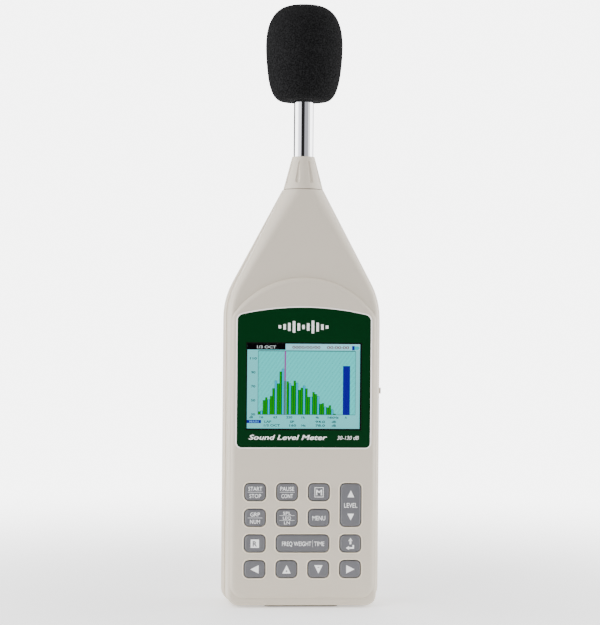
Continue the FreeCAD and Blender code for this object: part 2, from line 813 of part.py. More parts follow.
rear_cuts = [
    block((f"-{BAY_HALF}", BAY_HALF), (TRAY_FLOOR, "rear_depth + cut_over"), ("bay_low", BAY_HIGH)),
    plate("front", f"2 * ({BAY_HALF} + cover_margin)", f"{BAY_HIGH} - bay_low + 2 * cover_margin",
        "cover_corner",
          "0", f"(bay_low + {BAY_HIGH}) / 2", ("rear_depth - case_wall", "rear_depth + cut_over")),
    rod("Y", ("0", "insert_height"), ("rear_depth - insert_depth", "rear_depth + cut_over"), "insert_radius"),
    rod("Z", ("0", "0"), ("case_top - 2 * nose_wall", "case_top + cut_over"), "spigot_radius + slide_fit"),
    plate("top", "foot_width + 2 * foot_gap", "foot_deep + 2 * foot_gap", "foot_corner", "0", "foot_centre",
          ("-cut_over", "foot_thick")),
    block((f"{side} - 2 * case_wall", f"{side} + cut_over"),
          ("switch_depth - switch_knob_deep / 2 - slot_gap",
              "switch_depth + switch_knob_deep / 2 + slot_gap"),
          ("switch_height - switch_knob_tall / 2 - switch_travel - slot_gap",
           "switch_height + switch_knob_tall / 2 + slot_gap")),
    block((f"{side} - side_cover_thick", f"{side} + cut_over"), bay_y, bay_z),
    rod("X", ("bay_depth", SOCKETS_UP[3]), SOCKET_IN, "supply_opening"),
    rod("X", ("bay_depth", SOCKETS_UP[2]), SOCKET_IN, "output_opening"),
    block(SOCKET_IN, ("bay_depth - data_opening_deep", "bay_depth + data_opening_deep"),
          (f"{SOCKETS_UP[1]} - data_opening_tall", f"{SOCKETS_UP[1]} + data_opening_tall")),
    rod("X", ("bay_depth", SOCKETS_UP[0]), SOCKET_IN, "trimmer_opening"),
]
for x in ("-cell_pitch / 2", "cell_pitch / 2"):
    rear_cuts.append(block((f"{x} - 2", f"{x} + 2"), (TRAY_FLOOR, f"{TRAY_FLOOR} + tab_slot"),
                           (BAY_HIGH, f"{BAY_HIGH} + tray_wall + cut_over")))
for x, z in CASE_SCREWS:
    rear_cuts.append(rod("Y", (x, z), ("-cut_over", "screw_seat + cut_over"), "screw_radius + screw_slack"))
    rear_cuts.append(rod("Y", (x, z), ("screw_seat", "rear_depth + cut_over"), "screw_recess"))
for x, z in AMPLIFIER_SCREWS:
    rear_cuts.append(rod("Y", (x, z), ("amplifier_level", "amplifier_level + board_thick + board_screw_bite"),
                         "board_screw_radius + board_screw_slack"))
node(cut(rear_walls, rear_cuts), "rear_shell")

# ---------------------------------------------------------------------------------------------------------
# Display: printed overlay, clear window, folded bezel, panel, backlight and the posts behind them
# ---------------------------------------------------------------------------------------------------------
node(cut(made(overlay), [screen_block(screen_wide, screen_tall, (f"{FACE} - cut_over", f"{WALL_BACK}"))]),
    "display_overlay")
node(
    plate("front", window_wide, window_tall, "1", "0", "screen_centre",
        (f"{FACE} + overlay_thick", WINDOW_BACK)),
    "display_window",
)
bezel = cut(
    screen_block("module_width", "module_height", (MODULE_FRONT, MODULE_BACK)),
    [
        screen_block("module_width - cut_over", "module_height - cut_over",
            (f"{MODULE_FRONT} + 0.4", f"{MODULE_BACK} + cut_over")),
        screen_block(screen_wide, screen_tall, (f"{MODULE_FRONT} - cut_over", MODULE_BACK)),
    ],
)
node(bezel, "display_bezel")
node(
    screen_block(PANEL_WIDE, PANEL_TALL, (f"{MODULE_FRONT} + panel_front", f"{MODULE_FRONT} + panel_back")),
    "display_panel",
)
node(
    screen_block(PANEL_WIDE, PANEL_TALL, (f"{MODULE_BACK} - backlight_thick", MODULE_BACK)),
    "backlight",
)
posts = [
    rod("Y", (f"{x} * (module_width / 2 - post_inset)",
        f"screen_centre + {z} * (module_height / 2 - post_inset)"),
        (MODULE_BACK, BOARD_FRONT), "board_boss_radius")
    for x in (-1, 1) for z in (-1, 1)
]
node(group(posts), "display_posts")

# ---------------------------------------------------------------------------------------------------------
# Keypad: twelve push keys, two rocking keys, and the silicone mat on the board that their pills reach through
# ---------------------------------------------------------------------------------------------------------
pill_front = f"{WALL_BACK} + flange_gap + key_flange_thick"
pill_back = f"{BOARD_FRONT} - key_travel - key_stop"
mat_cuts = []
for name, (across, up, wide, tall, pills) in KEYS.items():
    gap = "rocker_gap" if name in ROCKERS else "flange_gap"
    body = doc.addObject("PartDesign::Body", "Key")
    cap = rounded_sketch(body, "front", wide, tall, "key_corner", across, up, f"-({WALL_BACK} + {gap})")
    pad(body, cap, f"pod_height + key_proud + case_wall + {gap}")
    flange = rounded_sketch(
        body, "front", f"{wide} + 2 * key_flange", f"{tall} + 2 * key_flange", "key_corner + key_flange", across, up,
        f"-({WALL_BACK} + {gap} + key_flange_thick)",
    )
    pad(body, flange, "key_flange_thick")
    key_top = face - size("key_proud")
    soften(body, "Chamfer", "key_edge", lambda middle: abs(middle.y - key_top) < 1e-6)
    pill_rods = [
        rod("Y", (f"{across} + {x}", f"{up} + {z}"),
            (f"{WALL_BACK} + {gap} + key_flange_thick - 0.2", pill_back), "key_pill_radius")
        for x, z in pills
    ]
    node(fuse([body] + pill_rods), name)
    mat_cuts += [
        rod("Y", (f"{across} + {x}", f"{up} + {z}"), (f"{BOARD_FRONT} - mat_thick - cut_over",
            f"{BOARD_FRONT} + cut_over"),
            "key_pill_radius + mat_gap + 0.2")
        for x, z in pills
    ]
mat = plate(
    "front", f"3 * key_pitch_across + key_width + 2 * mat_margin", "3 * key_pitch_up + key_height + 2 * mat_margin",
    "key_corner", "0", key_row(1.5), (f"{BOARD_FRONT} - mat_thick", BOARD_FRONT),
)
node(cut(mat, mat_cuts), "keypad_mat")

# ---------------------------------------------------------------------------------------------------------
# Main board with its shield can, chips, clock cell and the ribbon's connector
# ---------------------------------------------------------------------------------------------------------
board_notches = [
    rod("Y", (x, z), (f"{BOARD_FRONT} - cut_over", f"{BOARD_BACK} + cut_over"),
        "boss_radius + 0.6") for x, z in CASE_SCREWS[:4]
]
board_holes = [
    rod("Y", (x, z), (f"{BOARD_FRONT} - cut_over", f"{BOARD_BACK} + cut_over"),
        "board_screw_radius + board_screw_slack") for x, z in BOARD_SCREWS
]
board = plate(
    "front", "2 * board_half_width", "board_high - board_low", "2", "0", "(board_low + board_high) / 2",
    (BOARD_FRONT, BOARD_BACK),
)
node(cut(board, board_notches + board_holes), "main_board")


def on_board(x, z, rise):
    """A block on the back of the main board."""
    return block(x, (BOARD_BACK, f"{BOARD_BACK} + {rise}"), z)


can_left, can_right, can_foot, can_crown = "-24", "6", "36", "74"
can = on_board((can_left, can_right), (can_foot, can_crown), "can_rise")
can_inside = block(
    (f"{can_left} + can_wall", f"{can_right} - can_wall"),
    (f"{BOARD_BACK} - cut_over", f"{BOARD_BACK} + can_rise - can_wall"),
    (f"{can_foot} + can_wall", f"{can_crown} - can_wall"),
)
node(cut(can, [can_inside]), "main_shield")
# left, right, foot and top of each chip on the board's back, and how far it stands off
CHIPS = (
    ("12", "26", "50", "64", "chip_rise"),
    ("12", "22", "70", "82", "chip_rise"),
    ("-30", "-18", "84", "96", "chip_rise"),
    ("-8", "4", "90", "98", "chip_rise"),
    ("14", "30", "98", "108", "can_rise"),
)
node(group([on_board((left, right), (foot, top), rise) for left, right, foot, top, rise in CHIPS]),
    "board_chips")
clock_place = ("-18", "156")
clock_ring = rod("Y", clock_place, (BOARD_BACK, f"{BOARD_BACK} + clock_cell_thick + clock_floor"),
    "clock_cell_radius + clock_rim")
clock_seat = rod("Y", clock_place, (f"{BOARD_BACK} + clock_floor", f"{BOARD_BACK} + clock_reach"),
    "clock_cell_radius + side_gap")
clock_notch = block(("-22", "-14"), (f"{BOARD_BACK} + clock_floor", f"{BOARD_BACK} + clock_reach"),
    ("162", "171"))
node(cut(clock_ring, [clock_seat, clock_notch]), "clock_holder")
node(
    rod("Y", clock_place, (f"{BOARD_BACK} + clock_floor", f"{BOARD_BACK} + clock_floor + clock_cell_thick"),
        "clock_cell_radius"),
    "clock_cell",
)

# ---------------------------------------------------------------------------------------------------------
# Amplifier board under the neck, with its shield can, connectors, ribbon and preamplifier socket
# ---------------------------------------------------------------------------------------------------------
AMPLIFIER_BACK = "(amplifier_level + board_thick)"
amplifier = block(("-amplifier_half_width", "amplifier_half_width"), ("amplifier_level", AMPLIFIER_BACK),
                  ("amplifier_low", "amplifier_high"))
amplifier_holes = [
    rod("Y", (x, z), ("amplifier_level - cut_over", f"{AMPLIFIER_BACK} + cut_over"),
        "board_screw_radius + board_screw_slack")
    for x, z in AMPLIFIER_SCREWS
]
node(cut(amplifier, amplifier_holes), "amplifier_board")
small_half, small_foot, small_crown = "8", "204", "226"
small_can = block((f"-{small_half}", small_half), ("amplifier_level - can_rise", "amplifier_level"),
    (small_foot, small_crown))
small_can_inside = block(
    (f"-({small_half} - can_wall)", f"{small_half} - can_wall"),
    ("amplifier_level - can_rise + can_wall", "amplifier_level + cut_over"),
    (f"{small_foot} + can_wall", f"{small_crown} - can_wall"),
)
node(cut(small_can, [small_can_inside]), "amplifier_shield")

ribbon_half = "(ribbon_width / 2 + 1)"
lower_end = (size("board_thick") - size("board_level") + 1.2, 172.5)
upper_end = (size("amplifier_level") - 1.2, size("amplifier_low") + 0.5)
connectors = [
    block((f"-{ribbon_half}", ribbon_half), (BOARD_BACK, f"{BOARD_BACK} + 2.4"), ("166", "172.5")),
    block((f"-{ribbon_half}", ribbon_half), ("amplifier_level - 2.4", "amplifier_level"),
          ("amplifier_low + 0.5", "amplifier_low + 5.5")),
]
node(group(connectors), "ribbon_connectors")


def swept(path, section):
    """A section carried along a path, as a closed solid."""
    return path.makePipeShell([section], True, False, 1)


def bent_path(points, bend):
    """An open path of straight lines with a round bend at each inner point."""
    edges = []
    start = points[0]
    for before, corner, after in zip(points, points[1:], points[2:]):
        back = (before - corner).normalize()
        ahead = (after - corner).normalize()
        half = back.getAngle(ahead) / 2
        reach = bend / math.tan(half)
        centre = corner + (back + ahead).normalize() * (bend / math.sin(half))
        first, last = corner + back * reach, corner + ahead * reach
        edges.append(Part.LineSegment(start, first).toShape())
        edges.append(Part.Arc(first, centre + (corner - centre).normalize() * bend, last).toShape())
        start = last
    edges.append(Part.LineSegment(start, points[-1]).toShape())
    return Part.Wire(edges)


bend_height = (lower_end[1] + upper_end[1]) / 2
route = bent_path(
    [Vector(0, *lower_end), Vector(0, lower_end[0], bend_height), Vector(0, upper_end[0], bend_height),
     Vector(0, *upper_end)],
    size("ribbon_bend"),
)
half_ribbon, half_film = size("ribbon_width") / 2, size("ribbon_thick") / 2
ribbon_corners = [(-half_ribbon, -half_film), (half_ribbon, -half_film), (half_ribbon, half_film),
    (-half_ribbon, half_film)]
ribbon_section = Part.makePolygon(
    [Vector(x, lower_end[0] + y, lower_end[1]) for x, y in ribbon_corners + ribbon_corners[:1]]
)
node(made(swept(route, ribbon_section)), "ribbon")

socket = rod("Z", ("0", "0"), ("socket_low", "tube_low - socket_gap"), "socket_radius")
pin_spots = []
for number in range(int(size("pin_count"))):
    turn = f"{number} * 360 / pin_count"
    pin_spots.append((f"pin_circle * cos({turn})", f"pin_circle * sin({turn})"))
socket_bores = [
    rod("Z", spot, ("tube_low - pin_length - cut_over", "tube_low + cut_over"),
        "pin_radius + slide_fit") for spot in pin_spots
]
node(cut(socket, socket_bores), "preamplifier_socket")

# ---------------------------------------------------------------------------------------------------------
# Side board with the power switch, supply jack, output jack, data socket and calibration trimmer
# ---------------------------------------------------------------------------------------------------------
SIDE_FACE = "(side_board_across + board_thick)"
node(
    block(("side_board_across", SIDE_FACE), SIDE_DEEP, ("side_board_low", "side_board_high")),
    "side_board",
)
wall_inside = "(case_half_width - side_cover_thick - bay_wall)"
jack_front = f"{wall_inside} - jack_gap"


def side_block(z, half_deep, half_tall, front=jack_front, depth="bay_depth"):
    return block((SIDE_FACE, front), (f"{depth} - {half_deep}", f"{depth} + {half_deep}"),
                 (f"{z} - {half_tall}", f"{z} + {half_tall}"))


supply_up, output_up, data_up, trimmer_up = SOCKETS_UP[3], SOCKETS_UP[2], SOCKETS_UP[1], SOCKETS_UP[0]
supply = cut(side_block(supply_up, *sheet_sizes("supply_half", "supply_half")),
    [rod("X", ("bay_depth", supply_up), (f"{jack_front} - supply_bore_deep", f"{jack_front} + cut_over"),
    "supply_bore")])
supply_pin = rod("X", ("bay_depth", supply_up), (f"{jack_front} - supply_bore_deep - jack_gap",
    f"{jack_front} - cut_over"),
    "supply_pin")
node(fuse([supply, supply_pin]), "supply_jack")
output = fuse([side_block(output_up, *sheet_sizes("output_half", "output_half")),
    rod("X", ("bay_depth", output_up), (f"{jack_front} - cut_over", f"{wall_inside} + output_nose"),
        "output_radius")])
output_bore = rod("X", ("bay_depth", output_up), (f"{jack_front} - output_bore_deep",
    f"{wall_inside} + output_nose + cut_over"),
    "output_bore")
node(cut(output, [output_bore]), "output_jack")
data_shell = side_block(data_up, *sheet_sizes("data_half_deep", "data_half_tall"),
    f"{wall_inside} + data_nose")
data_inside = block((f"{jack_front} - data_deep", f"{wall_inside} + data_nose + cut_over"),
    ("bay_depth - data_half_deep + data_wall", "bay_depth + data_half_deep - data_wall"),
                    (f"{data_up} - data_half_tall + data_wall", f"{data_up} + data_half_tall - data_wall"))
data_tongue = block((f"{jack_front} - data_deep - cut_over", f"{wall_inside} + cut_over / 2"),
    ("bay_depth - data_wall", "bay_depth + data_wall"),
                    (f"{data_up} - data_opening_deep", f"{data_up} + data_opening_deep"))
node(fuse([cut(data_shell, [data_inside]), data_tongue]), "data_socket")
trimmer = cut(
    side_block(trimmer_up, *sheet_sizes("trimmer_half", "trimmer_half")),
    [rod("X", ("bay_depth", trimmer_up), (f"{jack_front} - trimmer_deep", f"{jack_front} + cut_over"),
        "trimmer_radius + slide_fit")],
)
node(trimmer, "trimmer_body")
rotor = rod("X", ("bay_depth", trimmer_up), (f"{jack_front} - trimmer_deep + foot_gap",
    f"{jack_front} + trimmer_proud"), "trimmer_radius")
rotor_slot = block((f"{jack_front} - jack_gap", f"{jack_front} + cut_over"),
    ("bay_depth - jack_gap", "bay_depth + jack_gap"),
                   (f"{trimmer_up} - trimmer_deep", f"{trimmer_up} + trimmer_deep"))
node(cut(rotor, [rotor_slot]), "trimmer_rotor")
node(
    block((SIDE_FACE, "case_half_width - case_wall - 2.2"), ("switch_depth - 3.5", "switch_depth + 4.5"),
          ("switch_height - 9", "switch_height + 9")),
    "switch_body",
)
knob = block(("case_half_width - case_wall - 0.8", "case_half_width + switch_proud"),
             ("switch_depth - switch_knob_deep / 2", "switch_depth + switch_knob_deep / 2"),
             ("switch_height - switch_knob_tall / 2", "switch_height + switch_knob_tall / 2"))
knob_flange = block(("case_half_width - case_wall - 1.7", "case_half_width - case_wall - 0.6"),
                    ("switch_depth - 3", "switch_depth + 3"),
                    ("switch_height - switch_knob_tall / 2 - 1.2",
                        "switch_height + switch_knob_tall / 2 + 4"))
node(fuse([knob, knob_flange]), "power_knob")
cover_block = block(
    ("case_half_width - side_cover_thick + 0.05", "case_half_width + cut_over"),
    ("bay_depth - bay_deep / 2 + side_cover_gap", "bay_depth + bay_deep / 2 - side_cover_gap"),
    ("bay_centre - bay_tall / 2 + side_cover_gap", "bay_centre + bay_tall / 2 - side_cover_gap"),
)
node(common(cover_block, made(rear_form(0))), "side_cover")

# ---------------------------------------------------------------------------------------------------------
# Battery bay: lift-off cover, four cells, springs, plates and the two wires to the main board
# ---------------------------------------------------------------------------------------------------------
cover_half = f"({BAY_HALF} + cover_margin - cover_gap)"
cover = plate(
    "front", f"2 * {cover_half}", f"{BAY_HIGH} - bay_low + 2 * (cover_margin - cover_gap)", "cover_corner - cover_gap",
    "0", f"(bay_low + {BAY_HIGH}) / 2", ("rear_depth - case_wall + 0.1", "rear_depth"),
)
grips = [
    block(("-grip_half_width", "grip_half_width"), ("rear_depth - grip_deep", "rear_depth + cut_over"),
          (f"{BAY_HIGH} - {step} * grip_pitch", f"{BAY_HIGH} - {step} * grip_pitch + grip_tall"))
    for step in (2, 3, 4, 5)
]
node(cut(cover, grips), "battery_cover")


def cell(across, low, nub_up):
    """One round cell with its raised contact."""
    can_low = low if nub_up else f"{low} + cell_nub"
    can_high = f"{low} + cell_length - cell_nub" if nub_up else f"{low} + cell_length - cell_hair"
    nub_low = f"{can_high} - cut_over" if nub_up else low
    nub_high = f"{low} + cell_length - cell_hair" if nub_up else f"{can_low} + cut_over"
    return fuse([
        rod("Z", (across, CELL_DEPTH), (can_low, can_high), "cell_radius"),
        rod("Z", (across, CELL_DEPTH), (nub_low, nub_high), "cell_nub_radius"),
    ])


left_low = "(bay_low + contact_thick + spring_length)"
right_low = "(bay_low + contact_thick)"
# neighbours on one column touch at a nub, so a hair's breadth is kept between their solids
cells = [
    cell("-cell_pitch / 2", left_low, True),
    cell("-cell_pitch / 2", f"{left_low} + cell_length", True),
    cell("cell_pitch / 2", right_low, False),
    cell("cell_pitch / 2", f"{right_low} + cell_length", False),
]
node(group(cells), "battery_cells")


def leaf(across, plate_face, cell_face):
    """A folded leaf spring, squeezed between a contact plate and a cell."""
    thick, reach = size("leaf_thick"), size("leaf_reach")
    away = 1 if cell_face > plate_face else -1
    depth = size("rear_depth") - size("case_wall") - size("cover_cell_gap") - size("cell_radius")
    low, high = plate_face + away * (thick / 2 + 0.05), cell_face - away * (thick / 2 + 0.05)
    fold = [Vector(across - reach, depth, low), Vector(across + reach, depth, low),
        Vector(across, depth, high),
            Vector(across - reach, depth, low + (high - low) * 0.7)]
    half = size("leaf_width") / 2
    corners = [(-half, -thick / 2), (half, -thick / 2), (half, thick / 2), (-half, thick / 2),
        (-half, -thick / 2)]
    section = Part.makePolygon([fold[0] + Vector(0, y, z) for y, z in corners])
    return swept(bent_path(fold, size("leaf_bend")), section)


half_pitch = size("cell_pitch") / 2
left_plate = size("bay_low") + size("contact_thick")
right_cell = left_plate + 2 * size("cell_length")
springs = [
    leaf(-half_pitch, left_plate, left_plate + size("spring_length")),
    leaf(half_pitch, right_cell + size("spring_length"), right_cell),
]
node(made(Part.makeCompound(springs)), "contact_springs")
plate_deep = (f"{CELL_DEPTH} - contact_half_width", f"{CELL_DEPTH} + contact_half_width")
bridge = block(("-cell_pitch / 2 - contact_half_width", "cell_pitch / 2 + contact_half_width"), plate_deep,
               ("bay_low", "bay_low + contact_thick"))
contacts = [bridge]
for x in ("-cell_pitch / 2", "cell_pitch / 2"):
    top = (f"{BAY_HIGH} - contact_thick", BAY_HIGH)
    flat = block((f"{x} - contact_half_width", f"{x} + contact_half_width"),
        (f"{TRAY_FLOOR} + 0.2", plate_deep[1]), top)
    tab = block((f"{x} - 1.5", f"{x} + 1.5"), (f"{TRAY_FLOOR} + 0.2", f"{TRAY_FLOOR} + 0.7"),
                (f"{BAY_HIGH} - contact_thick", f"{BAY_HIGH} + contact_tab"))
    contacts.append(fuse([flat, tab]))
node(group(contacts), "contact_plates")
bay_top = size("bay_low") + 2 * size("contact_thick") + size("spring_length") + 2 * size("cell_length")
tray_floor = (size("rear_depth") - size("case_wall") - size("cover_cell_gap") - 2 * size("cell_radius") - size("cell_gap"))
wires = []
for across in (-half_pitch, half_pitch):
    tab_top = bay_top + size("contact_tab")
    wire_depth = tray_floor + 0.45
    board_back = size("board_thick") - size("board_level")
    radius = size("wire_radius")
    path = bent_path(
        [Vector(across, wire_depth, tab_top), Vector(across, wire_depth, tab_top + 4),
         Vector(across, board_back, tab_top + 4)],
        2.5,
    )
    section = Part.Wire(Part.makeCircle(radius, Vector(across, wire_depth, tab_top), Vector(0, 0, 1)))
    wires.append(swept(path, section))
node(made(Part.makeCompound(wires)), "battery_wires")

# ---------------------------------------------------------------------------------------------------------
# Thread insert, screws, foot pad and neck bush
# ---------------------------------------------------------------------------------------------------------
insert = rod("Y", ("0", "insert_height"), ("rear_depth - insert_depth", "rear_depth - 0.3"), "insert_radius")
insert_bore = rod("Y", ("0", "insert_height"), ("rear_depth - insert_depth + insert_floor",
    "rear_depth + cut_over"), "insert_bore")
node(cut(insert, [insert_bore]), "tripod_insert")


def screw(place_at, seat, tip, head, head_radius, shank_radius, cross):
    """A pan-head screw along Y with its head's underside at seat, and a cross recess in the head."""
    x, z = place_at
    outward = 1 if size_of(seat) > size_of(tip) else -1
    head_top = f"{seat} + {outward} * {head}"
    head_limits = (seat, head_top) if outward > 0 else (head_top, seat)
    shank_limits = (tip, f"{seat} + 0.2") if outward > 0 else (f"{seat} - 0.2", tip)
    recess = (f"{head_top} - {cross}",
        f"{head_top} + cut_over") if outward > 0 else (f"{head_top} - cut_over", f"{head_top} + {cross}")
    arm = f"{head_radius} * 0.6"
    thin = f"{head_radius} * 0.14"
    body = fuse([rod("Y", (x, z), head_limits, head_radius), rod("Y", (x, z), shank_limits, shank_radius)])
    slots = [
        block((f"{x} - {a}", f"{x} + {a}"), recess, (f"{z} - {b}", f"{z} + {b}")) for a, b in ((arm, thin),
            (thin, arm))
    ]
    return cut(body, slots)


def size_of(text):
    """The value of an expression of plain sums of cells."""
    scratch = doc.getObject("Scratch") or doc.addObject("App::FeaturePython", "Scratch")
    if "Reading" not in scratch.PropertiesList:
        scratch.addProperty("App::PropertyFloat", "Reading")
    scratch.setExpression("Reading", formula(text))
    doc.recompute()
    return scratch.Reading


node(group([
    screw(spot, "screw_seat", "-screw_bite", "screw_head", "screw_head_radius", "screw_radius",
        "1") for spot in CASE_SCREWS
]), "case_screws")
small = ("board_screw_rise", "board_screw_head", "board_screw_radius", "0.7")
small_screws = [screw(spot, BOARD_BACK, f"{BOARD_FRONT} - board_screw_bite + 0.4", *small)
    for spot in BOARD_SCREWS]
small_screws += [
    screw(spot, "amplifier_level", f"{AMPLIFIER_BACK} + board_screw_bite - 0.4 - board_thick", *small)
    for spot in AMPLIFIER_SCREWS
]
node(group(small_screws), "board_screws")
node(plate("top", "foot_width", "foot_deep", "foot_corner", "0", "foot_centre", ("0", "foot_thick")),
    "foot_pad")
bush = fuse([
    rod("Z", ("0", "0"), ("case_top - nose_wall", "spigot_top"), "spigot_radius"),
    rod("Z", ("0", "0"), ("case_top - nose_wall - bush_flange", "case_top - nose_wall"),
        "bush_flange_radius"),
])
bush_bore = rod("Z", ("0", "0"), ("case_top - nose_wall - 2 * bush_flange", "spigot_top + cut_over"),
    "tube_radius + slide_fit")
node(cut(bush, [bush_bore]), "neck_bush")

# ---------------------------------------------------------------------------------------------------------
# Microphone: tube, capsule, grid, plug, board and retaining ring, with the collar that screws it down
# ---------------------------------------------------------------------------------------------------------
cavity_top = "(spigot_top + ring_gap + ring_height + 0.4)"
cone = frustum(("0", "0"), ("case_top + collar_gap", "collar_top"), "collar_low_radius", "collar_top_radius")
cavity = rod("Z", ("0", "0"), ("case_top", cavity_top), "spigot_radius + thread_fit")
collar_bore = rod("Z", ("0", "0"), ("case_top", "collar_top + cut_over"), "tube_radius + slide_fit")


def flute(turn):
    """A tear-drop cutter lying along the collar's slope: round below and pointed above."""
    low, high, long = sheet_sizes("flute_low_radius", "flute_top_radius", "flute_length")
    cone_low, cone_high = sheet_sizes("collar_low_radius", "collar_top_radius")
    start = size("case_top") + size("collar_gap")
    lean = math.atan((cone_low - cone_high) / (size("collar_top") - start))
    drop = math.asin((low - high) / long)
    cutter = Part.makeCone(low * math.cos(drop), high, long).fuse(Part.makeSphere(low)).fuse(
        Part.makeSphere(high, Vector(0, 0, long))
    )
    out = cone_low - size("flute_start") * math.tan(lean) + (low - size("flute_depth")) / math.cos(lean)
    cutter.rotate(Vector(), Vector(0, 1, 0), -math.degrees(lean) - math.degrees(drop) * 0.75)
    cutter.translate(Vector(out, 0, start + size("flute_start")))
    cutter.rotate(Vector(), Vector(0, 0, 1), turn)
    return cutter


turns = [-90 + (number + 0.5) * 360 / size("flute_count") for number in range(int(size("flute_count")))]
collar = cut(cone, [cavity, collar_bore] + [made(flute(turn)) for turn in turns])
node(collar, "collar")

tube = cut(
    rod("Z", ("0", "0"), ("tube_low", "tube_high"), "tube_radius"),
    [rod("Z", ("0", "0"), ("tube_low - cut_over", "tube_high + cut_over"), "tube_radius - tube_wall")],
)
node(tube, "microphone_tube")
node(rod("Z", ("0", "0"), ("tube_high", "capsule_top - grid_height"), "tube_radius"), "microphone_capsule")
GRID_LOW = "(capsule_top - grid_height)"
grid = cut(
    rod("Z", ("0", "0"), (GRID_LOW, "capsule_top"), "tube_radius - grid_step"),
    [rod("Z", ("0", "0"), (f"{GRID_LOW} + grid_lip", "capsule_top - grid_wall"),
        "tube_radius - grid_step - grid_wall")],
)
slot_wide, slot_rim = size("grid_slot_wide"), 2 * size("grid_wall")
grid_slots = []
for number in range(int(size("grid_slot_count"))):
    side_slot = Part.makeBox(
        2 * slot_rim, slot_wide, size("grid_height") - 2 * size("cut_over"),
        Vector(size("tube_radius") - slot_rim, -slot_wide / 2,
            size("capsule_top") - size("grid_height") + size("cut_over")),
    )
    side_slot.rotate(Vector(), Vector(0, 0, 1), number * 360 / size("grid_slot_count"))
    grid_slots.append(made(side_slot))
end_count = int(size("grid_end_count"))
end_pitch = min(size("grid_end_pitch"), 2 * (size("tube_radius") - 2 * slot_rim) / (end_count - 1))
for number in range(end_count):
    spread = (number - (end_count - 1) / 2) * end_pitch
    reach = math.sqrt((size("tube_radius") - slot_rim) ** 2 - (abs(spread) + slot_wide / 2) ** 2)
    grid_slots.append(made(Part.makeBox(
        2 * reach, slot_wide, 2 * size("cut_over"), Vector(-reach, spread - slot_wide / 2,
            size("capsule_top") - size("cut_over")),
    )))
node(cut(grid, grid_slots), "microphone_grid")
plug = fuse(
    [rod("Z", ("0", "0"), ("tube_low", "tube_low + plug_thick"), "tube_radius - tube_wall")]
    + [rod("Z", spot, ("tube_low - pin_length", "tube_low + cut_over"), "pin_radius") for spot in pin_spots]
)
node(plug, "microphone_plug")
node(block(("-4.4", "4.4"), ("-0.7", "0.7"), ("tube_low + plug_thick", "tube_high - 3")),
    "preamplifier_board")
ring_low = "(spigot_top + ring_gap)"
ring = cut(
    rod("Z", ("0", "0"), (ring_low, f"{ring_low} + ring_height"), "ring_radius"),
    [rod("Z", ("0", "0"), (f"{ring_low} - cut_over", f"{ring_low} + ring_height + cut_over"), "tube_radius")],
)
node(ring, "retaining_ring")

# ---------------------------------------------------------------------------------------------------------
# Foam windscreen: a turned egg with a flat base, bored to slip over the microphone
# ---------------------------------------------------------------------------------------------------------
# share of the height and share of the largest radius, from the edge of the flat base to near the crown
FOAM_PROFILE = (
    (0.012, 0.67), (0.055, 0.78), (0.117, 0.857), (0.24, 0.935), (0.4, 0.98), (0.54, 1.0), (0.68, 0.984),
    (0.74, 0.959), (0.8, 0.915), (0.865, 0.84), (0.927, 0.715), (0.97, 0.55), (0.993, 0.3), (1.0, 0.0),
)
foam_low, foam_high, foam_wide = sheet_sizes("foam_bottom", "foam_top", "foam_radius")
base_edge = Vector(0.55 * foam_wide, 0, foam_low)
profile = [base_edge] + [Vector(r * foam_wide, 0, foam_low + z * (foam_high - foam_low)) for z,
    r in FOAM_PROFILE]
curve = Part.BSplineCurve()
curve.interpolate(Points=profile)
foam_base, foam_crown = Vector(0, 0, foam_low), profile[-1]
outline = Part.Wire([
    Part.LineSegment(foam_base, base_edge).toShape(), curve.toShape(), Part.LineSegment(foam_crown,
        foam_base).toShape(),
])
foam = made(Part.Face(outline).revolve(Vector(), Vector(0, 0, 1), 360))
foam_bore = rod("Z", ("0", "0"), ("foam_bottom - cut_over", "capsule_top + foam_tip_gap"),
    "tube_radius + foam_bore_gap")
node(cut(foam, [foam_bore]), "windscreen")

# ---------------------------------------------------------------------------------------------------------
# Check every object, then write each piece
# ---------------------------------------------------------------------------------------------------------
doc.recompute()
for item in doc.Objects:
    if "Invalid" in item.State or "Error" in item.State:
        raise RuntimeError(f"{item.Label} did not build: {item.State}")
os.makedirs("parts", exist_ok=True)
for piece in NODES:
    if piece.Shape.isNull() or not piece.Shape.isValid():
        raise RuntimeError(f"{piece.Label} has no sound shape")
    piece.Shape.exportStep(f"parts/{piece.Label}.step")
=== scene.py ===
import math

import bmesh
import bpy
from mathutils import Matrix, Vector, noise


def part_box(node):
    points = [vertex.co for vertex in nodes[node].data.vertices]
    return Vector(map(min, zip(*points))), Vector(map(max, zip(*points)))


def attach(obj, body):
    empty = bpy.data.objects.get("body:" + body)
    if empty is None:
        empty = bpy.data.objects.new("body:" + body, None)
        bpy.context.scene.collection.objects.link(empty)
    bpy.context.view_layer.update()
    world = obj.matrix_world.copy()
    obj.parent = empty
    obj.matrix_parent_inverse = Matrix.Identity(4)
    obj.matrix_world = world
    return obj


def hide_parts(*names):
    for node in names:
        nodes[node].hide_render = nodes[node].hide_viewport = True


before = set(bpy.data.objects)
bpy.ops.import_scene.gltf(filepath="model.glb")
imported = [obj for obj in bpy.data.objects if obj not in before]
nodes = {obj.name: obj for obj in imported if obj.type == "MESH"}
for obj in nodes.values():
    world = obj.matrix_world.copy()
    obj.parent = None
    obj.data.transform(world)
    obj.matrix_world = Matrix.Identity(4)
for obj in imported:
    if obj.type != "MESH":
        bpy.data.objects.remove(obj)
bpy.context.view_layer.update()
MM = 0.001

# ---------------------------------------------------------------------------------------------------------
# Case shells: injection-moulded ABS in a warm light grey, spark-eroded to a fine even texture.
# The battery cover and the collar come out of the same moulding shop and share the resin.
# ---------------------------------------------------------------------------------------------------------


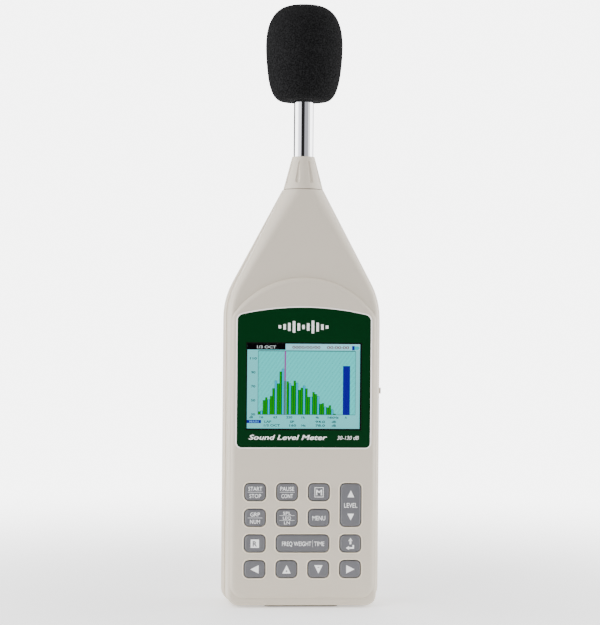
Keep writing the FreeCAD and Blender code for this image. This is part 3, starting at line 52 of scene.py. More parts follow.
def surface(name, colour, rough, metal=0.0, grain=(900, 0.02), blotch=(30, 0.03), sheen=0.0, coat=0.0,
    stretch=(1, 1, 1),
            gloss=0.5):
    """A finish with blotches of tone, uneven polish and a fine grain, all on object coordinates."""
    material = bpy.data.materials.new(name)
    material.use_nodes = True
    tree = material.node_tree
    shader = tree.nodes["Principled BSDF"]
    shader.inputs["Metallic"].default_value = metal
    shader.inputs["Coat Weight"].default_value = coat
    shader.inputs["Coat Roughness"].default_value = 0.12
    shader.inputs["Sheen Weight"].default_value = sheen
    shader.inputs["Specular IOR Level"].default_value = gloss
    place = tree.nodes.new("ShaderNodeTexCoord")
    turn = tree.nodes.new("ShaderNodeMapping")
    turn.inputs["Scale"].default_value = stretch
    tree.links.new(place.outputs["Object"], turn.inputs["Vector"])
    cloud = tree.nodes.new("ShaderNodeTexNoise")
    cloud.inputs["Scale"].default_value = blotch[0]
    cloud.inputs["Detail"].default_value = 5
    tree.links.new(turn.outputs["Vector"], cloud.inputs["Vector"])
    tone = tree.nodes.new("ShaderNodeMix")
    tone.data_type = "RGBA"
    tone.inputs["A"].default_value = [c * (1 - blotch[1]) for c in colour] + [1]
    tone.inputs["B"].default_value = [min(1, c * (1 + blotch[1])) for c in colour] + [1]
    tree.links.new(cloud.outputs["Fac"], tone.inputs["Factor"])
    tree.links.new(tone.outputs["Result"], shader.inputs["Base Color"])
    polish = tree.nodes.new("ShaderNodeMapRange")
    smooth_share, dull_share = 0.88, 1.12
    polish.inputs["To Min"].default_value = max(0.02, rough * smooth_share)
    polish.inputs["To Max"].default_value = min(1, rough * dull_share)
    tree.links.new(cloud.outputs["Fac"], polish.inputs["Value"])
    tree.links.new(polish.outputs["Result"], shader.inputs["Roughness"])
    fine = tree.nodes.new("ShaderNodeTexNoise")
    fine.inputs["Scale"].default_value = grain[0]
    fine.inputs["Detail"].default_value = 3
    tree.links.new(turn.outputs["Vector"], fine.inputs["Vector"])
    bump = tree.nodes.new("ShaderNodeBump")
    bump.inputs["Strength"].default_value = 0.5
    bump.inputs["Distance"].default_value = grain[1] * MM
    tree.links.new(fine.outputs["Fac"], bump.inputs["Height"])
    tree.links.new(bump.outputs["Normal"], shader.inputs["Normal"])
    return material


def dress(material, *names):
    for name in names:
        nodes[name].data.materials.clear()
        nodes[name].data.materials.append(material)


case_plastic = surface("case_plastic", (0.61, 0.545, 0.445), 0.46, grain=(1300, 0.05), blotch=(16, 0.018),
    gloss=0.35)
dress(case_plastic, "front_shell", "rear_shell", "battery_cover", "collar")

# ---------------------------------------------------------------------------------------------------------
# Display module: a folded tinplate bezel round the panel, and a milky light guide behind it, on four posts.
# ---------------------------------------------------------------------------------------------------------
tinplate = surface("tinplate", (0.55, 0.56, 0.57), 0.3, metal=1.0, grain=(500, 0.01), blotch=(60, 0.05),
    stretch=(1, 1, 6))
panel_glass = surface("panel_glass", (0.004, 0.005, 0.005), 0.12, coat=0.6, grain=(300, 0.001),
    blotch=(20, 0.1))
milky = surface("light_guide", (0.8, 0.82, 0.8), 0.35, grain=(2000, 0.01), blotch=(40, 0.02))
post_nylon = surface("post_nylon", (0.72, 0.71, 0.66), 0.45, grain=(700, 0.02), blotch=(80, 0.04))
dress(tinplate, "display_bezel")
dress(panel_glass, "display_panel")
dress(milky, "backlight")
dress(post_nylon, "display_posts")

# ---------------------------------------------------------------------------------------------------------
# The picture on the panel: 320 by 240 dots, showing a third-octave spectrum, an overall level bar, scales
# and two lines of readings. Each colour is a thin layer, and later layers lie in front of earlier ones.
# ---------------------------------------------------------------------------------------------------------
panel_low, panel_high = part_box("display_panel")
lit_front = panel_low.y
dots_wide, dots_tall, picture_wide = 320, 240, 70.6 * MM
dot = picture_wide / dots_wide
screen_middle = (panel_low.z + panel_high.z) / 2


def lit(name, colour, power=1.0, weave=0.0):
    """A colour that the panel shows, with the faint slant of its dots where weave is given."""
    material = bpy.data.materials.new(name)
    material.use_nodes = True
    tree = material.node_tree
    shader = tree.nodes["Principled BSDF"]
    shader.inputs["Roughness"].default_value = 0.3
    shader.inputs["Base Color"].default_value = [c * 0.04 for c in colour] + [1]
    shader.inputs["Specular IOR Level"].default_value = 0.05
    shader.inputs["Emission Strength"].default_value = power
    place = tree.nodes.new("ShaderNodeTexCoord")
    turn = tree.nodes.new("ShaderNodeMapping")
    turn.inputs["Rotation"].default_value = (0, math.radians(-35), 0)
    tree.links.new(place.outputs["Object"], turn.inputs["Vector"])
    stripe = tree.nodes.new("ShaderNodeTexWave")
    stripe.inputs["Scale"].default_value = 150
    stripe.inputs["Distortion"].default_value = 0.4
    tree.links.new(turn.outputs["Vector"], stripe.inputs["Vector"])
    tone = tree.nodes.new("ShaderNodeMix")
    tone.data_type = "RGBA"
    tone.inputs["A"].default_value = [c * (1 - weave) for c in colour] + [1]
    tone.inputs["B"].default_value = [c * (1 + weave) for c in colour] + [1]
    tree.links.new(stripe.outputs["Fac"], tone.inputs["Factor"])
    tree.links.new(tone.outputs["Result"], shader.inputs["Emission Color"])
    return material


def panel_x(across):
    return (across - dots_wide / 2) * dot


def panel_z(down):
    return screen_middle + (dots_tall / 2 - down) * dot


def quad(form, x0, x1, z0, z1, depth):
    """A flat oblong that faces the front."""
    corners = [(x0, z0), (x1, z0), (x1, z1), (x0, z1)]
    return form.faces.new([form.verts.new((x, depth, z)) for x, z in corners])


def letters(form, words, x, z, depth, tall, wide=None, align="CENTER", slant=0.0, heavy=0.0):
    """Adds words to a form, with capitals of the given height and, if stated, a line of the given width."""
    curve = bpy.data.curves.new("words", "FONT")
    curve.body = words
    curve.size = 1
    curve.shear = slant
    curve.offset = heavy
    curve.resolution_u = 3
    holder = bpy.data.objects.new("words", curve)
    bpy.context.scene.collection.objects.link(holder)
    mesh = bpy.data.meshes.new_from_object(holder.evaluated_get(bpy.context.evaluated_depsgraph_get()))
    bpy.data.objects.remove(holder)
    left, right = min(v.co.x for v in mesh.vertices), max(v.co.x for v in mesh.vertices)
    capital_share = 0.73
    rise = tall / capital_share
    spread = wide / (right - left) if wide else rise
    start = {"LEFT": x, "CENTER": x - spread * (right - left) / 2,
        "RIGHT": x - spread * (right - left)}[align]
    for v in mesh.vertices:
        v.co = (start + (v.co.x - left) * spread, depth, z - tall / 2 + v.co.y * rise)
    form.from_mesh(mesh)
    bpy.data.meshes.remove(mesh)


def sheet_piece(name, form, material, body):
    """Makes a piece of a form, gives it its finish and lets it ride on a body."""
    mesh = bpy.data.meshes.new(name)
    form.to_mesh(mesh)
    form.free()
    mesh.materials.append(material)
    piece = bpy.data.objects.new(name, mesh)
    bpy.context.scene.collection.objects.link(piece)
    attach(piece, body)
    return piece


def layer(name, material, boxes, step, words=()):
    """One colour of the picture: boxes and words in dots, from the top left corner."""
    form = bmesh.new()
    layer_step, word_weight = 0.02, 0.022
    depth = lit_front - (layer_step + layer_step * step) * MM
    for left, top, right, bottom in boxes:
        quad(form, panel_x(left), panel_x(right), panel_z(bottom), panel_z(top), depth)
    for text, across, down, tall, wide in words:
        letters(form, text, panel_x(across), panel_z(down), depth, tall * dot, wide * dot, heavy=word_weight)
    return sheet_piece(name, form, material, "case")


frame_left, frame_right, frame_top, frame_foot = 31, 307, 21, 200
layer("picture_ground", lit("dots_pale", (0.22, 0.92, 0.96)), [(0, 0, dots_wide, dots_tall)], 0)
layer("picture_bar", lit("dots_light", (0.42, 1.05, 1.2)), [(108, 0, dots_wide, 17)], 1)
layer("picture_plot", lit("dots_cyan", (0.10, 0.92, 0.90), weave=0.06), [(frame_left, frame_top, frame_right,
    frame_foot)], 1)
layer("picture_tab", lit("dots_black", (0.001, 0.001, 0.002)), [(0, 0, 108, 17)], 2)
grid_points = [
    (x, y, x + 1, y + 1) for x in range(frame_left + 10, frame_right - 4, 20) for y in range(frame_top + 20,
        frame_foot, 13)
]
layer("picture_grid", lit("dots_teal", (0.04, 0.22, 0.23)), grid_points, 2)
dim = lit("dots_grey", (0.055, 0.11, 0.115))
layer("picture_frame", dim, [
    (frame_left - 0.8, frame_top, frame_left + 0.5, frame_foot), (frame_right, frame_top, frame_right + 1,
        frame_foot),
    (frame_left - 1, frame_foot, frame_right + 1, frame_foot + 1.2), (frame_left, 19.2, frame_right, 21.2),
], 3)

# sound level in each third-octave band, in decibels, and the scale that the plot has
levels = [34, 35, 50, 54, 51, 56, 67, 78, 74, 91, 95, 78, 77, 74, 71, 78, 75, 65, 68, 71, 67, 55, 55, 62, 59,
    56, 45, 46,
          41, 40, 43, 37, 31]
band, marked_band = 6.7, 11
scale_low, dots_a_decibel = 30, 1.98
edge_over, bar_gap, bar_under = 0.6, 0.9, 0.3


def height_of(level):
    return frame_foot - (level - scale_low) * dots_a_decibel


bars = {"edge": [], "green": [], "cyan": []}
for number, level in enumerate(levels):
    left = frame_left + number * band
    if number == marked_band:
        continue
    bars["edge"].append((left, height_of(level) - edge_over, left + band, frame_foot))
    colour = "cyan" if number % 3 == 1 else "green"
    bars[colour].append((left + bar_gap, height_of(level) + bar_under, left + band - bar_gap, frame_foot))
layer("picture_bar_edges", lit("dots_dark_green", (0.0, 0.11, 0.03)), bars["edge"], 3)
layer("picture_green_bars", lit("dots_green", (0.0, 0.36, 0.004)), bars["green"], 4)
layer("picture_cyan_bars", lit("dots_bright_cyan", (0.0, 0.62, 1.05)), bars["cyan"], 4)
cursor = frame_left + marked_band * band
layer("picture_cursor", lit("dots_purple", (0.45, 0.10, 0.45)), [(cursor + 0.6, frame_top, cursor + 5,
    height_of(levels[marked_band]))], 4)
layer("picture_cursor_foot", lit("dots_mid_grey", (0.12, 0.15, 0.14)),
    [(cursor + 0.6, height_of(levels[marked_band]), cursor + 5, frame_foot)], 4)
layer("picture_overall_bar", lit("dots_blue", (0.012, 0.0, 0.34)), [(272, 62, 292, 201), (0, 216, 40, 225),
    (297, 5, 305, 17)], 4)
layer("picture_battery", lit("dots_battery", (0.0, 0.70, 0.85)), [(304, 6, 316, 16), (316, 9, 318, 13)], 5)
layer("picture_tab_words", lit("dots_white", (0.75, 0.85, 0.85)), [], 5, [("1/3 OCT", 54, 9, 8, 54)])
layer("picture_clock", lit("dots_red", (0.30, 0.05, 0.05)), [], 5,
      [("0000/00/00", 167, 9.5, 8, 80), ("00:00:00", 257, 9.5, 8, 63)])
scales = [(str(mark), 17, height_of(mark), 6.5, 19 if mark > 99 else 12) for mark in (30, 50, 70, 90, 110)]
centres = [("16", 41, 10), ("63", 80, 10), ("250", 120, 17), ("1k", 160, 10), ("4k", 200, 10),
    ("16kHz", 245, 31), ("A", 281, 6)]
scales += [(words, across, 208, 6.5, wide) for words, across, wide in centres] + [("dB", 12, 208, 6.5, 10)]
readings = [
    ("LAF", 59, 220.5, 6.5, 19), ("SP", 128, 220.5, 6.5, 12), ("94.0", 208, 220.5, 6.5, 27), ("dB", 247,
        220.5, 6.5, 12),
    ("1/3 OCT", 71, 231, 6.5, 46), ("160", 130, 231, 6.5, 19), ("Hz", 161, 231, 6.5, 12), ("78.0", 208, 231,
        6.5, 27),
    ("dB", 247, 231, 6.5, 12),
]
layer("picture_words", lit("dots_slate", (0.006, 0.03, 0.03)), [], 5, scales + readings)
layer("picture_marked_word", lit("dots_sky", (0.16, 0.5, 1.1)), [], 6, [("MAIN", 20, 220.5, 6, 26)])

# ---------------------------------------------------------------------------------------------------------
# Window and overlay: a clear polyester lens, and round it a film screen-printed dark green on its back,
# with white words and a plain row of bars as an emblem. A soft bead of the shell runs round the film.
# ---------------------------------------------------------------------------------------------------------
lens_clear = bpy.data.materials.new("lens_clear")
lens_clear.use_nodes = True
lens_tree = lens_clear.node_tree
lens_tree.nodes.clear()
lens_out = lens_tree.nodes.new("ShaderNodeOutputMaterial")
lens_through = lens_tree.nodes.new("ShaderNodeBsdfTransparent")
lens_through.inputs["Color"].default_value = (0.96, 0.97, 0.97, 1)
lens_gloss = lens_tree.nodes.new("ShaderNodeBsdfGlossy")
lens_gloss.inputs["Roughness"].default_value = 0.08
lens_smear = lens_tree.nodes.new("ShaderNodeTexNoise")
lens_smear.inputs["Scale"].default_value = 60
lens_place = lens_tree.nodes.new("ShaderNodeTexCoord")
lens_amount = lens_tree.nodes.new("ShaderNodeMapRange")
lens_amount.inputs["To Min"].default_value = 0.008
lens_amount.inputs["To Max"].default_value = 0.02
lens_mix = lens_tree.nodes.new("ShaderNodeMixShader")
lens_tree.links.new(lens_place.outputs["Object"], lens_smear.inputs["Vector"])
lens_tree.links.new(lens_smear.outputs["Fac"], lens_amount.inputs["Value"])
lens_tree.links.new(lens_amount.outputs["Result"], lens_mix.inputs["Fac"])
lens_tree.links.new(lens_through.outputs["BSDF"], lens_mix.inputs[1])
lens_tree.links.new(lens_gloss.outputs["BSDF"], lens_mix.inputs[2])
lens_tree.links.new(lens_mix.outputs["Shader"], lens_out.inputs["Surface"])
dress(lens_clear, "display_window")

# a black border is printed on the lens round the picture, and hides the edge of the shell's opening
window_low, window_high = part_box("display_window")
picture_margin, border_lift = 0.15 * MM, 0.01 * MM
inner_left, inner_right = panel_x(0) - picture_margin, panel_x(dots_wide) + picture_margin
inner_foot, inner_top = panel_z(dots_tall) - picture_margin, panel_z(0) + picture_margin
border = bmesh.new()
for left, right, foot, crown in (
    (window_low.x, inner_left, window_low.z, window_high.z), (inner_right, window_high.x, window_low.z,
        window_high.z),
    (inner_left, inner_right, window_low.z, inner_foot), (inner_left, inner_right, inner_top, window_high.z),
):
    quad(border, left, right, foot, crown, window_low.y - border_lift)
border_black = surface("border_black", (0.003, 0.003, 0.003), 0.45, grain=(2600, 0.004), blotch=(40, 0.1),
    gloss=0.1)
sheet_piece("window_border", border, border_black, "case")

film_green = surface("film_green", (0.0006, 0.024, 0.005), 0.3, grain=(2600, 0.006), blotch=(22, 0.08),
    gloss=0.08)
dress(film_green, "display_overlay")
print_white = surface("print_white", (0.95, 0.95, 0.94), 0.5, grain=(3000, 0.004), blotch=(120, 0.02))
film_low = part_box("display_overlay")[0]
print_lift, print_slant, title_weight = 0.02 * MM, 0.24, 0.016
film_print = film_low.y - print_lift
title_left, title_level, title_tall, title_wide = -34.2 * MM, 106.8 * MM, 3.1 * MM, 49 * MM
range_right, range_level, range_tall, range_wide = 34.6 * MM, 106.6 * MM, 2.5 * MM, 13.5 * MM
words = bmesh.new()
letters(words, "Sound Level Meter", title_left, title_level, film_print, title_tall, title_wide, "LEFT",
    print_slant,
        title_weight)
letters(words, "30-130 dB", range_right, range_level, film_print, range_tall, range_wide, "RIGHT",
    print_slant)
emblem = (2.0, 3.4, 5.0, 7.2, 4.6, 2.6, 4.6, 7.9, 5.4, 3.4, 2.0)
emblem_middle, emblem_level, emblem_pitch, emblem_half = -0.6, 175.6, 2.95, 0.8 * MM
for number, tall in enumerate(emblem):
    middle = (emblem_middle + (number - (len(emblem) - 1) / 2) * emblem_pitch) * MM
    foot, crown = (emblem_level - tall / 2) * MM, (emblem_level + tall / 2) * MM
    quad(words, middle - emblem_half, middle + emblem_half, foot, crown, film_print)
sheet_piece("overlay_print", words, print_white, "case")

# ---------------------------------------------------------------------------------------------------------
# The moulded bead: a fine half-round rib of the front shell that frames the film and hides its cut edge. It
# is coloured near white, far lighter than the shell: a painted highlight along the rib.
# ---------------------------------------------------------------------------------------------------------
bead_half, bead_foot, bead_crown, arch = 42.1 * MM, 99.9 * MM, 188.1 * MM, 175 * MM
foot_round, top_round, bead_thick, bead_sink = 3.5 * MM, 4.3 * MM, 0.42 * MM, 0.1 * MM
arch_middle = bead_crown - arch
blend_x = bead_half - top_round
blend_z = arch_middle + math.sqrt((arch - top_round) ** 2 - blend_x ** 2)
blend_turn = math.atan2(blend_z - arch_middle, blend_x)


def turned(centre, radius, start, end, steps):
    """Points along an arc, from one angle to another."""
    turns = [start + (end - start) * step / steps for step in range(steps + 1)]
    return [(centre[0] + radius * math.cos(a), centre[1] + radius * math.sin(a)) for a in turns]


half_outline = turned((bead_half - foot_round, bead_foot + foot_round), foot_round, -math.pi / 2, 0, 10)
half_outline += turned((blend_x, blend_z), top_round, 0, blend_turn, 10)
half_outline += turned((0, arch_middle), arch, blend_turn, math.pi / 2, 24)[1:]
bead_path = half_outline + [(-x, z) for x, z in reversed(half_outline[:-1])]


def bead(form, path, thick, depth):
    """Adds a round bead along a closed path that faces the front."""
    curve = bpy.data.curves.new("bead", "CURVE")
    curve.dimensions = "3D"
    curve.bevel_depth = thick
    curve.bevel_resolution = 3
    line = curve.splines.new("POLY")
    line.points.add(len(path) - 1)
    for point, (x, z) in zip(line.points, path):
        point.co = (x, depth, z, 1)
    line.use_cyclic_u = True
    holder = bpy.data.objects.new("bead", curve)
    bpy.context.scene.collection.objects.link(holder)
    mesh = bpy.data.meshes.new_from_object(holder.evaluated_get(bpy.context.evaluated_depsgraph_get()))
    bpy.data.objects.remove(holder)
    form.from_mesh(mesh)
    bpy.data.meshes.remove(mesh)


def bead_piece(name, form, material):
    bmesh.ops.recalc_face_normals(form, faces=form.faces)
    for face in form.faces:
        face.smooth = True
    sheet_piece(name, form, material, "case")


film_bead_highlight = bmesh.new()
bead(film_bead_highlight, bead_path, bead_thick, film_low.y + bead_sink)
# the bead's near-white colour is a painted highlight, lighter than the shell's own resin
bead_piece("film_bead_highlight", film_bead_highlight, surface("film_bead_highlight", (0.98, 0.93, 0.89), 0.3, grain=(1400, 0.01),
    blotch=(14, 0.01)))

# a rounded lip runs round each key hole, so that the rubber slides in without catching; its colour, much
# lighter than the shell, is a painted highlight along the lip
keys = ("start_stop_key", "pause_key", "marker_key", "group_key", "view_key", "menu_key", "record_key",
    "enter_key",
        "left_key", "up_key", "down_key", "right_key", "level_key", "weighting_key")
key_rims = bmesh.new()
rim_gap, rim_thick, rim_round, rim_sink = 0.95 * MM, 0.42 * MM, 3.5 * MM, 0.14 * MM
face_band = 1.5 * MM
for key in keys:
    flange_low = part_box(key)[0]
    top = [v.co for v in nodes[key].data.vertices if v.co.y < flange_low.y + face_band]
    left, right = min(v.x for v in top) - rim_gap, max(v.x for v in top) + rim_gap
    foot, crown = min(v.z for v in top) - rim_gap, max(v.z for v in top) + rim_gap
    path = []
    for x, z, start in ((right, foot, -90), (right, crown, 0), (left, crown, 90), (left, foot, 180)):
        centre = (x - math.copysign(rim_round, x - (left + right) / 2),
            z - math.copysign(rim_round, z - (foot + crown) / 2))
        path += turned(centre, rim_round, math.radians(start), math.radians(start + 90), 6)
    bead(key_rims, path, rim_thick, film_low.y + rim_sink)
# the lip's light colour is a painted highlight; the shell's own resin is darker
bead_piece("key_hole_lips", key_rims, surface("lip_painted_highlight", (0.86, 0.76, 0.60), 0.35, grain=(1400, 0.02),
    blotch=(14, 0.01)))

# ---------------------------------------------------------------------------------------------------------
# Keys: grey silicone rubber with white legends printed on their faces, over a web of the same rubber.
# ---------------------------------------------------------------------------------------------------------
key_rubber = surface("key_rubber", (0.118, 0.118, 0.128), 0.42, grain=(1800, 0.02), blotch=(40, 0.05),
    gloss=0.4)
dress(key_rubber, *keys, "keypad_mat")
legend_lift = 0.02 * MM
key_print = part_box("up_key")[0].y - legend_lift


def legend(key, lines=(), bars=(), shapes=(), backs=()):
    """The white print on a key, in millimetres from its centre; backs are grey marks printed over it."""
    low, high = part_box(key)
    x, z = (low.x + high.x) / 2, (low.z + high.z) / 2
    form = bmesh.new()
    for text, across, up, tall, wide, heavy in lines:
        letters(form, text, x + across * MM, z + up * MM, key_print, tall * MM, wide * MM, heavy=heavy)
    for x0, x1, z0, z1 in bars:
        quad(form, x + x0 * MM, x + x1 * MM, z + z0 * MM, z + z1 * MM, key_print)
    for corners in shapes:
        form.faces.new([form.verts.new((x + a * MM, key_print, z + b * MM)) for a, b in corners])
    sheet_piece(key + "_legend", form, print_white, key)
    if backs:
        form = bmesh.new()
        for item in backs:
            if isinstance(item[0], str):
                text, across, up, tall, wide, heavy = item
                letters(form, text, x + across * MM, z + up * MM, key_print - legend_lift, tall * MM,
                    wide * MM, heavy=heavy)
            else:
                x0, x1, z0, z1 = item
                quad(form, x + x0 * MM, x + x1 * MM, z + z0 * MM, z + z1 * MM, key_print - legend_lift)
        sheet_piece(key + "_mark", form, key_rubber, key)


rule = (-4.7, 4.7, -0.09, 0.09)
legend("start_stop_key", [("START", 0, 2.2, 2.6, 8.6, 0.004), ("STOP", 0, -2.3, 2.6, 7.2, 0.004)], [rule])
legend("pause_key", [("PAUSE", 0, 2.2, 2.6, 8.6, 0.004), ("CONT", 0, -2.3, 2.6, 7.2, 0.004)], [rule])
legend("group_key", [("GRP", 0, 2.2, 2.6, 6.0, 0.004), ("NUM", 0, -2.3, 2.6, 6.2, 0.004)], [rule])
legend("view_key", [("SPL", 0, 3.0, 1.9, 5.0, 0.003), ("LEQ", 0, 0, 1.9, 5.0, 0.003),
    ("LN", 0, -3.0, 1.9, 3.6, 0.003)],
       [(-4.7, 4.7, 1.42, 1.58), (-4.7, 4.7, -1.58, -1.42)])
legend("menu_key", [("MENU", 0, 0, 2.9, 8.0, 0.004)])
ring = 0.35
legend("marker_key", [("M", 0, 0, 3.5, 3.6, 0.02)],
       [(-2.8, 2.8, 2.75, 2.75 + ring), (-2.8, 2.8, -2.75 - ring, -2.75), (-2.8, -2.8 + ring, -2.75, 2.75),
           (2.8 - ring, 2.8, -2.75, 2.75)])
legend("record_key", bars=[(-2.6, 2.6, -2.6, 2.6)], backs=[("R", 0, 0, 3.3, 2.7, 0.03)])
legend("weighting_key", [("FREQ WEIGHT", -3.8, 0, 2.9, 18.2, 0.003), ("TIME", 10.3, 0, 2.9, 6.3, 0.003)],
    [(6.1, 6.25, -2.2, 2.2)])
legend("level_key", [("LEVEL", 0, 0, 3.0, 8.2, 0.004)], shapes=[[(-2.1, 4.9), (2.1, 4.9), (0, 9.3)],
    [(-2.1, -5.3), (0, -9.5), (2.1, -5.3)]])
legend("enter_key", bars=[(-0.55, 0.55, -0.4, 2.0), (-1.2, 2.3, -3.2, -2.2), (1.3, 2.3, -2.3, -0.8)],
       shapes=[[(-1.35, 1.6), (1.35, 1.6), (0, 3.6)], [(-2.9, -2.7), (-0.9, -3.9), (-0.9, -1.5)]])
legend("left_key", shapes=[[(-2.7, 0), (2.5, -2.6), (2.5, 2.6)]])
legend("right_key", shapes=[[(-2.5, 2.6), (-2.5, -2.6), (2.7, 0)]])
legend("up_key", shapes=[[(-2.6, -2.6), (2.6, -2.6), (0, 2.7)]], backs=[(-0.6, 0.6, -1.35, -0.95),
    (-0.2, 0.2, -1.75, -0.55)])
legend("down_key", shapes=[[(-2.6, 2.6), (0, -2.7), (2.6, 2.6)]], backs=[(-0.6, 0.6, 0.95, 1.35)])

# ---------------------------------------------------------------------------------------------------------
# Boards: green glass-fibre boards with tinned cans, black chips, a clock cell, a film ribbon and wires.
# ---------------------------------------------------------------------------------------------------------
board_green = surface("board_green", (0.015, 0.12, 0.05), 0.35, grain=(260, 0.02), blotch=(90, 0.25),
    coat=0.3)
chip_black = surface("chip_black", (0.012, 0.012, 0.013), 0.6, grain=(1500, 0.02), blotch=(60, 0.1))
moulded_black = surface("moulded_black", (0.015, 0.015, 0.016), 0.4, grain=(800, 0.02), blotch=(60, 0.1))
nickel = surface("nickel", (0.66, 0.63, 0.58), 0.22, metal=1.0, grain=(400, 0.01), blotch=(50, 0.05),
    stretch=(1, 6, 1))
ribbon_film = surface("ribbon_film", (0.42, 0.17, 0.03), 0.3, grain=(300, 0.01), blotch=(50, 0.08), coat=0.4)
wire_red = surface("wire_red", (0.35, 0.015, 0.01), 0.4, grain=(900, 0.01), blotch=(100, 0.08))
dress(board_green, "main_board", "amplifier_board", "side_board", "preamplifier_board")
dress(tinplate, "main_shield", "amplifier_shield", "data_socket")
dress(chip_black, "board_chips")
dress(moulded_black, "clock_holder", "ribbon_connectors", "supply_jack", "output_jack", "switch_body",
      "preamplifier_socket", "microphone_plug")
dress(nickel, "clock_cell", "contact_springs", "contact_plates", "retaining_ring")
dress(ribbon_film, "ribbon")
dress(wire_red, "battery_wires")

# ---------------------------------------------------------------------------------------------------------
# Side fittings, cells, screws, inserts and foot.
# ---------------------------------------------------------------------------------------------------------
brass = surface("brass", (0.62, 0.42, 0.14), 0.25, metal=1.0, grain=(600, 0.01), blotch=(40, 0.08),
    stretch=(1, 1, 5))
trimmer_blue = surface("trimmer_blue", (0.02, 0.07, 0.35), 0.35, grain=(700, 0.01), blotch=(60, 0.05))
cell_jacket = surface("cell_jacket", (0.02, 0.03, 0.07), 0.25, grain=(300, 0.005), blotch=(30, 0.2), coat=0.5)
screw_zinc = surface("screw_zinc", (0.55, 0.54, 0.5), 0.35, metal=1.0, grain=(700, 0.01), blotch=(90, 0.1))
foot_rubber = surface("foot_rubber", (0.02, 0.02, 0.021), 0.8, grain=(500, 0.05), blotch=(60, 0.2), gloss=0.2)
flap_rubber = surface("flap_rubber", (0.42, 0.40, 0.36), 0.75, grain=(900, 0.03), blotch=(30, 0.04))
knob_plastic = surface("knob_plastic", (0.42, 0.37, 0.31), 0.5, grain=(900, 0.02), blotch=(80, 0.05))
dress(brass, "tripod_insert", "neck_bush", "trimmer_rotor")
dress(trimmer_blue, "trimmer_body")
dress(cell_jacket, "battery_cells")
dress(screw_zinc, "case_screws", "board_screws")
dress(foot_rubber, "foot_pad")
dress(flap_rubber, "side_cover")
dress(knob_plastic, "power_knob")

# ---------------------------------------------------------------------------------------------------------
# Microphone: a polished chrome tube, capsule and slotted grid.
# ---------------------------------------------------------------------------------------------------------
chrome = surface("chrome", (0.86, 0.86, 0.88), 0.06, metal=1.0, grain=(300, 0.001), blotch=(30, 0.01))
dress(chrome, "microphone_tube", "microphone_capsule", "microphone_grid")

# ---------------------------------------------------------------------------------------------------------
# Windscreen: an egg of black open-cell foam, ground to shape so that its cut cells stand open all over, and
# bored to slip over the microphone. It is turned from the outline of its solid, then pitted cell by cell.
# ---------------------------------------------------------------------------------------------------------
foam_low, foam_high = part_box("windscreen")
bore, bore_top = 6.65 * MM, 346.5 * MM
rings, around = 190, 380
cell_size, cell_deep, pit_spread = 1.05 * MM, 0.34 * MM, 1.5
swell_size, swell_deep = 9 * MM, 0.12
foot_fade, crown_fade, bore_clear = 6, 4, 0.1 * MM
reach = {}
for vertex in nodes["windscreen"].data.vertices:
    level = round(vertex.co.z, 5)
    reach[level] = max(reach.get(level, 0), math.hypot(vertex.co.x, vertex.co.y))
outer = [(r, z) for z, r in sorted(reach.items()) if r > bore + bore_clear or z > bore_top + MM]
outer = [(bore, foam_low.z)] + outer
lengths = [0]
for (r0, z0), (r1, z1) in zip(outer, outer[1:]):
    lengths.append(lengths[-1] + math.hypot(r1 - r0, z1 - z0))


def on_outline(share):
    """The point at a share of the outline's length, with its outward normal."""
    want = share * lengths[-1]
    place = next((number for number, far in enumerate(lengths[1:]) if far >= want), len(lengths) - 2)
    (r0, z0), (r1, z1) = outer[place], outer[place + 1]
    stretch = max(1e-9, lengths[place + 1] - lengths[place])
    part = (want - lengths[place]) / stretch
    normal = Vector(((z1 - z0) / stretch, (r0 - r1) / stretch))
    return r0 + (r1 - r0) * part, z0 + (z1 - z0) * part, normal


foam = bmesh.new()
ring_rows = []
inside_rows = [(bore, bore_top), (bore, bore_top * 0.5 + foam_low.z * 0.5)]
for radius, level in inside_rows:
    ring_rows.append([
        foam.verts.new((radius * math.cos(a), radius * math.sin(a), level))
        for a in (2 * math.pi * step / around for step in range(around))
    ])
for number in range(rings):
    radius, level, normal = on_outline(number / rings)
    row = []
    for step in range(around):
        turn = 2 * math.pi * step / around
        point = Vector((radius * math.cos(turn), radius * math.sin(turn), level))
        out = Vector((normal.x * math.cos(turn), normal.x * math.sin(turn), normal.y))
        near = noise.voronoi(point / cell_size)[0]
        pit = max(0, 1 - near[0] * pit_spread) * cell_deep
        swell = (0.5 + 0.5 * noise.noise(point / swell_size)) * swell_deep * MM
        fade = min(1, number / foot_fade, (rings - number) / crown_fade)
        row.append(foam.verts.new(point - out * (pit + swell) * fade))
    ring_rows.append(row)
for lower, upper in zip(ring_rows, ring_rows[1:]):
    for step in range(around):
        after = (step + 1) % around
        foam.faces.new((lower[step], lower[after], upper[after], upper[step]))
for row, level in ((ring_rows[0], bore_top), (ring_rows[-1], foam_high.z)):
    pole = foam.verts.new((0, 0, level))
    for step in range(around):
        foam.faces.new((row[step], row[(step + 1) % around], pole))
bmesh.ops.recalc_face_normals(foam, faces=foam.faces)
for face in foam.faces:
    face.smooth = True

foam_black = surface("foam_black", (0.01, 0.01, 0.01), 0.95, grain=(1500, 0.3), blotch=(700, 0.5), gloss=0.02)
foam_tree = foam_black.node_tree
foam_shader = foam_tree.nodes["Principled BSDF"]
foam_place = foam_tree.nodes.new("ShaderNodeTexCoord")
foam_cells = foam_tree.nodes.new("ShaderNodeTexVoronoi")
foam_cells.inputs["Scale"].default_value = 1150
foam_tree.links.new(foam_place.outputs["Object"], foam_cells.inputs["Vector"])
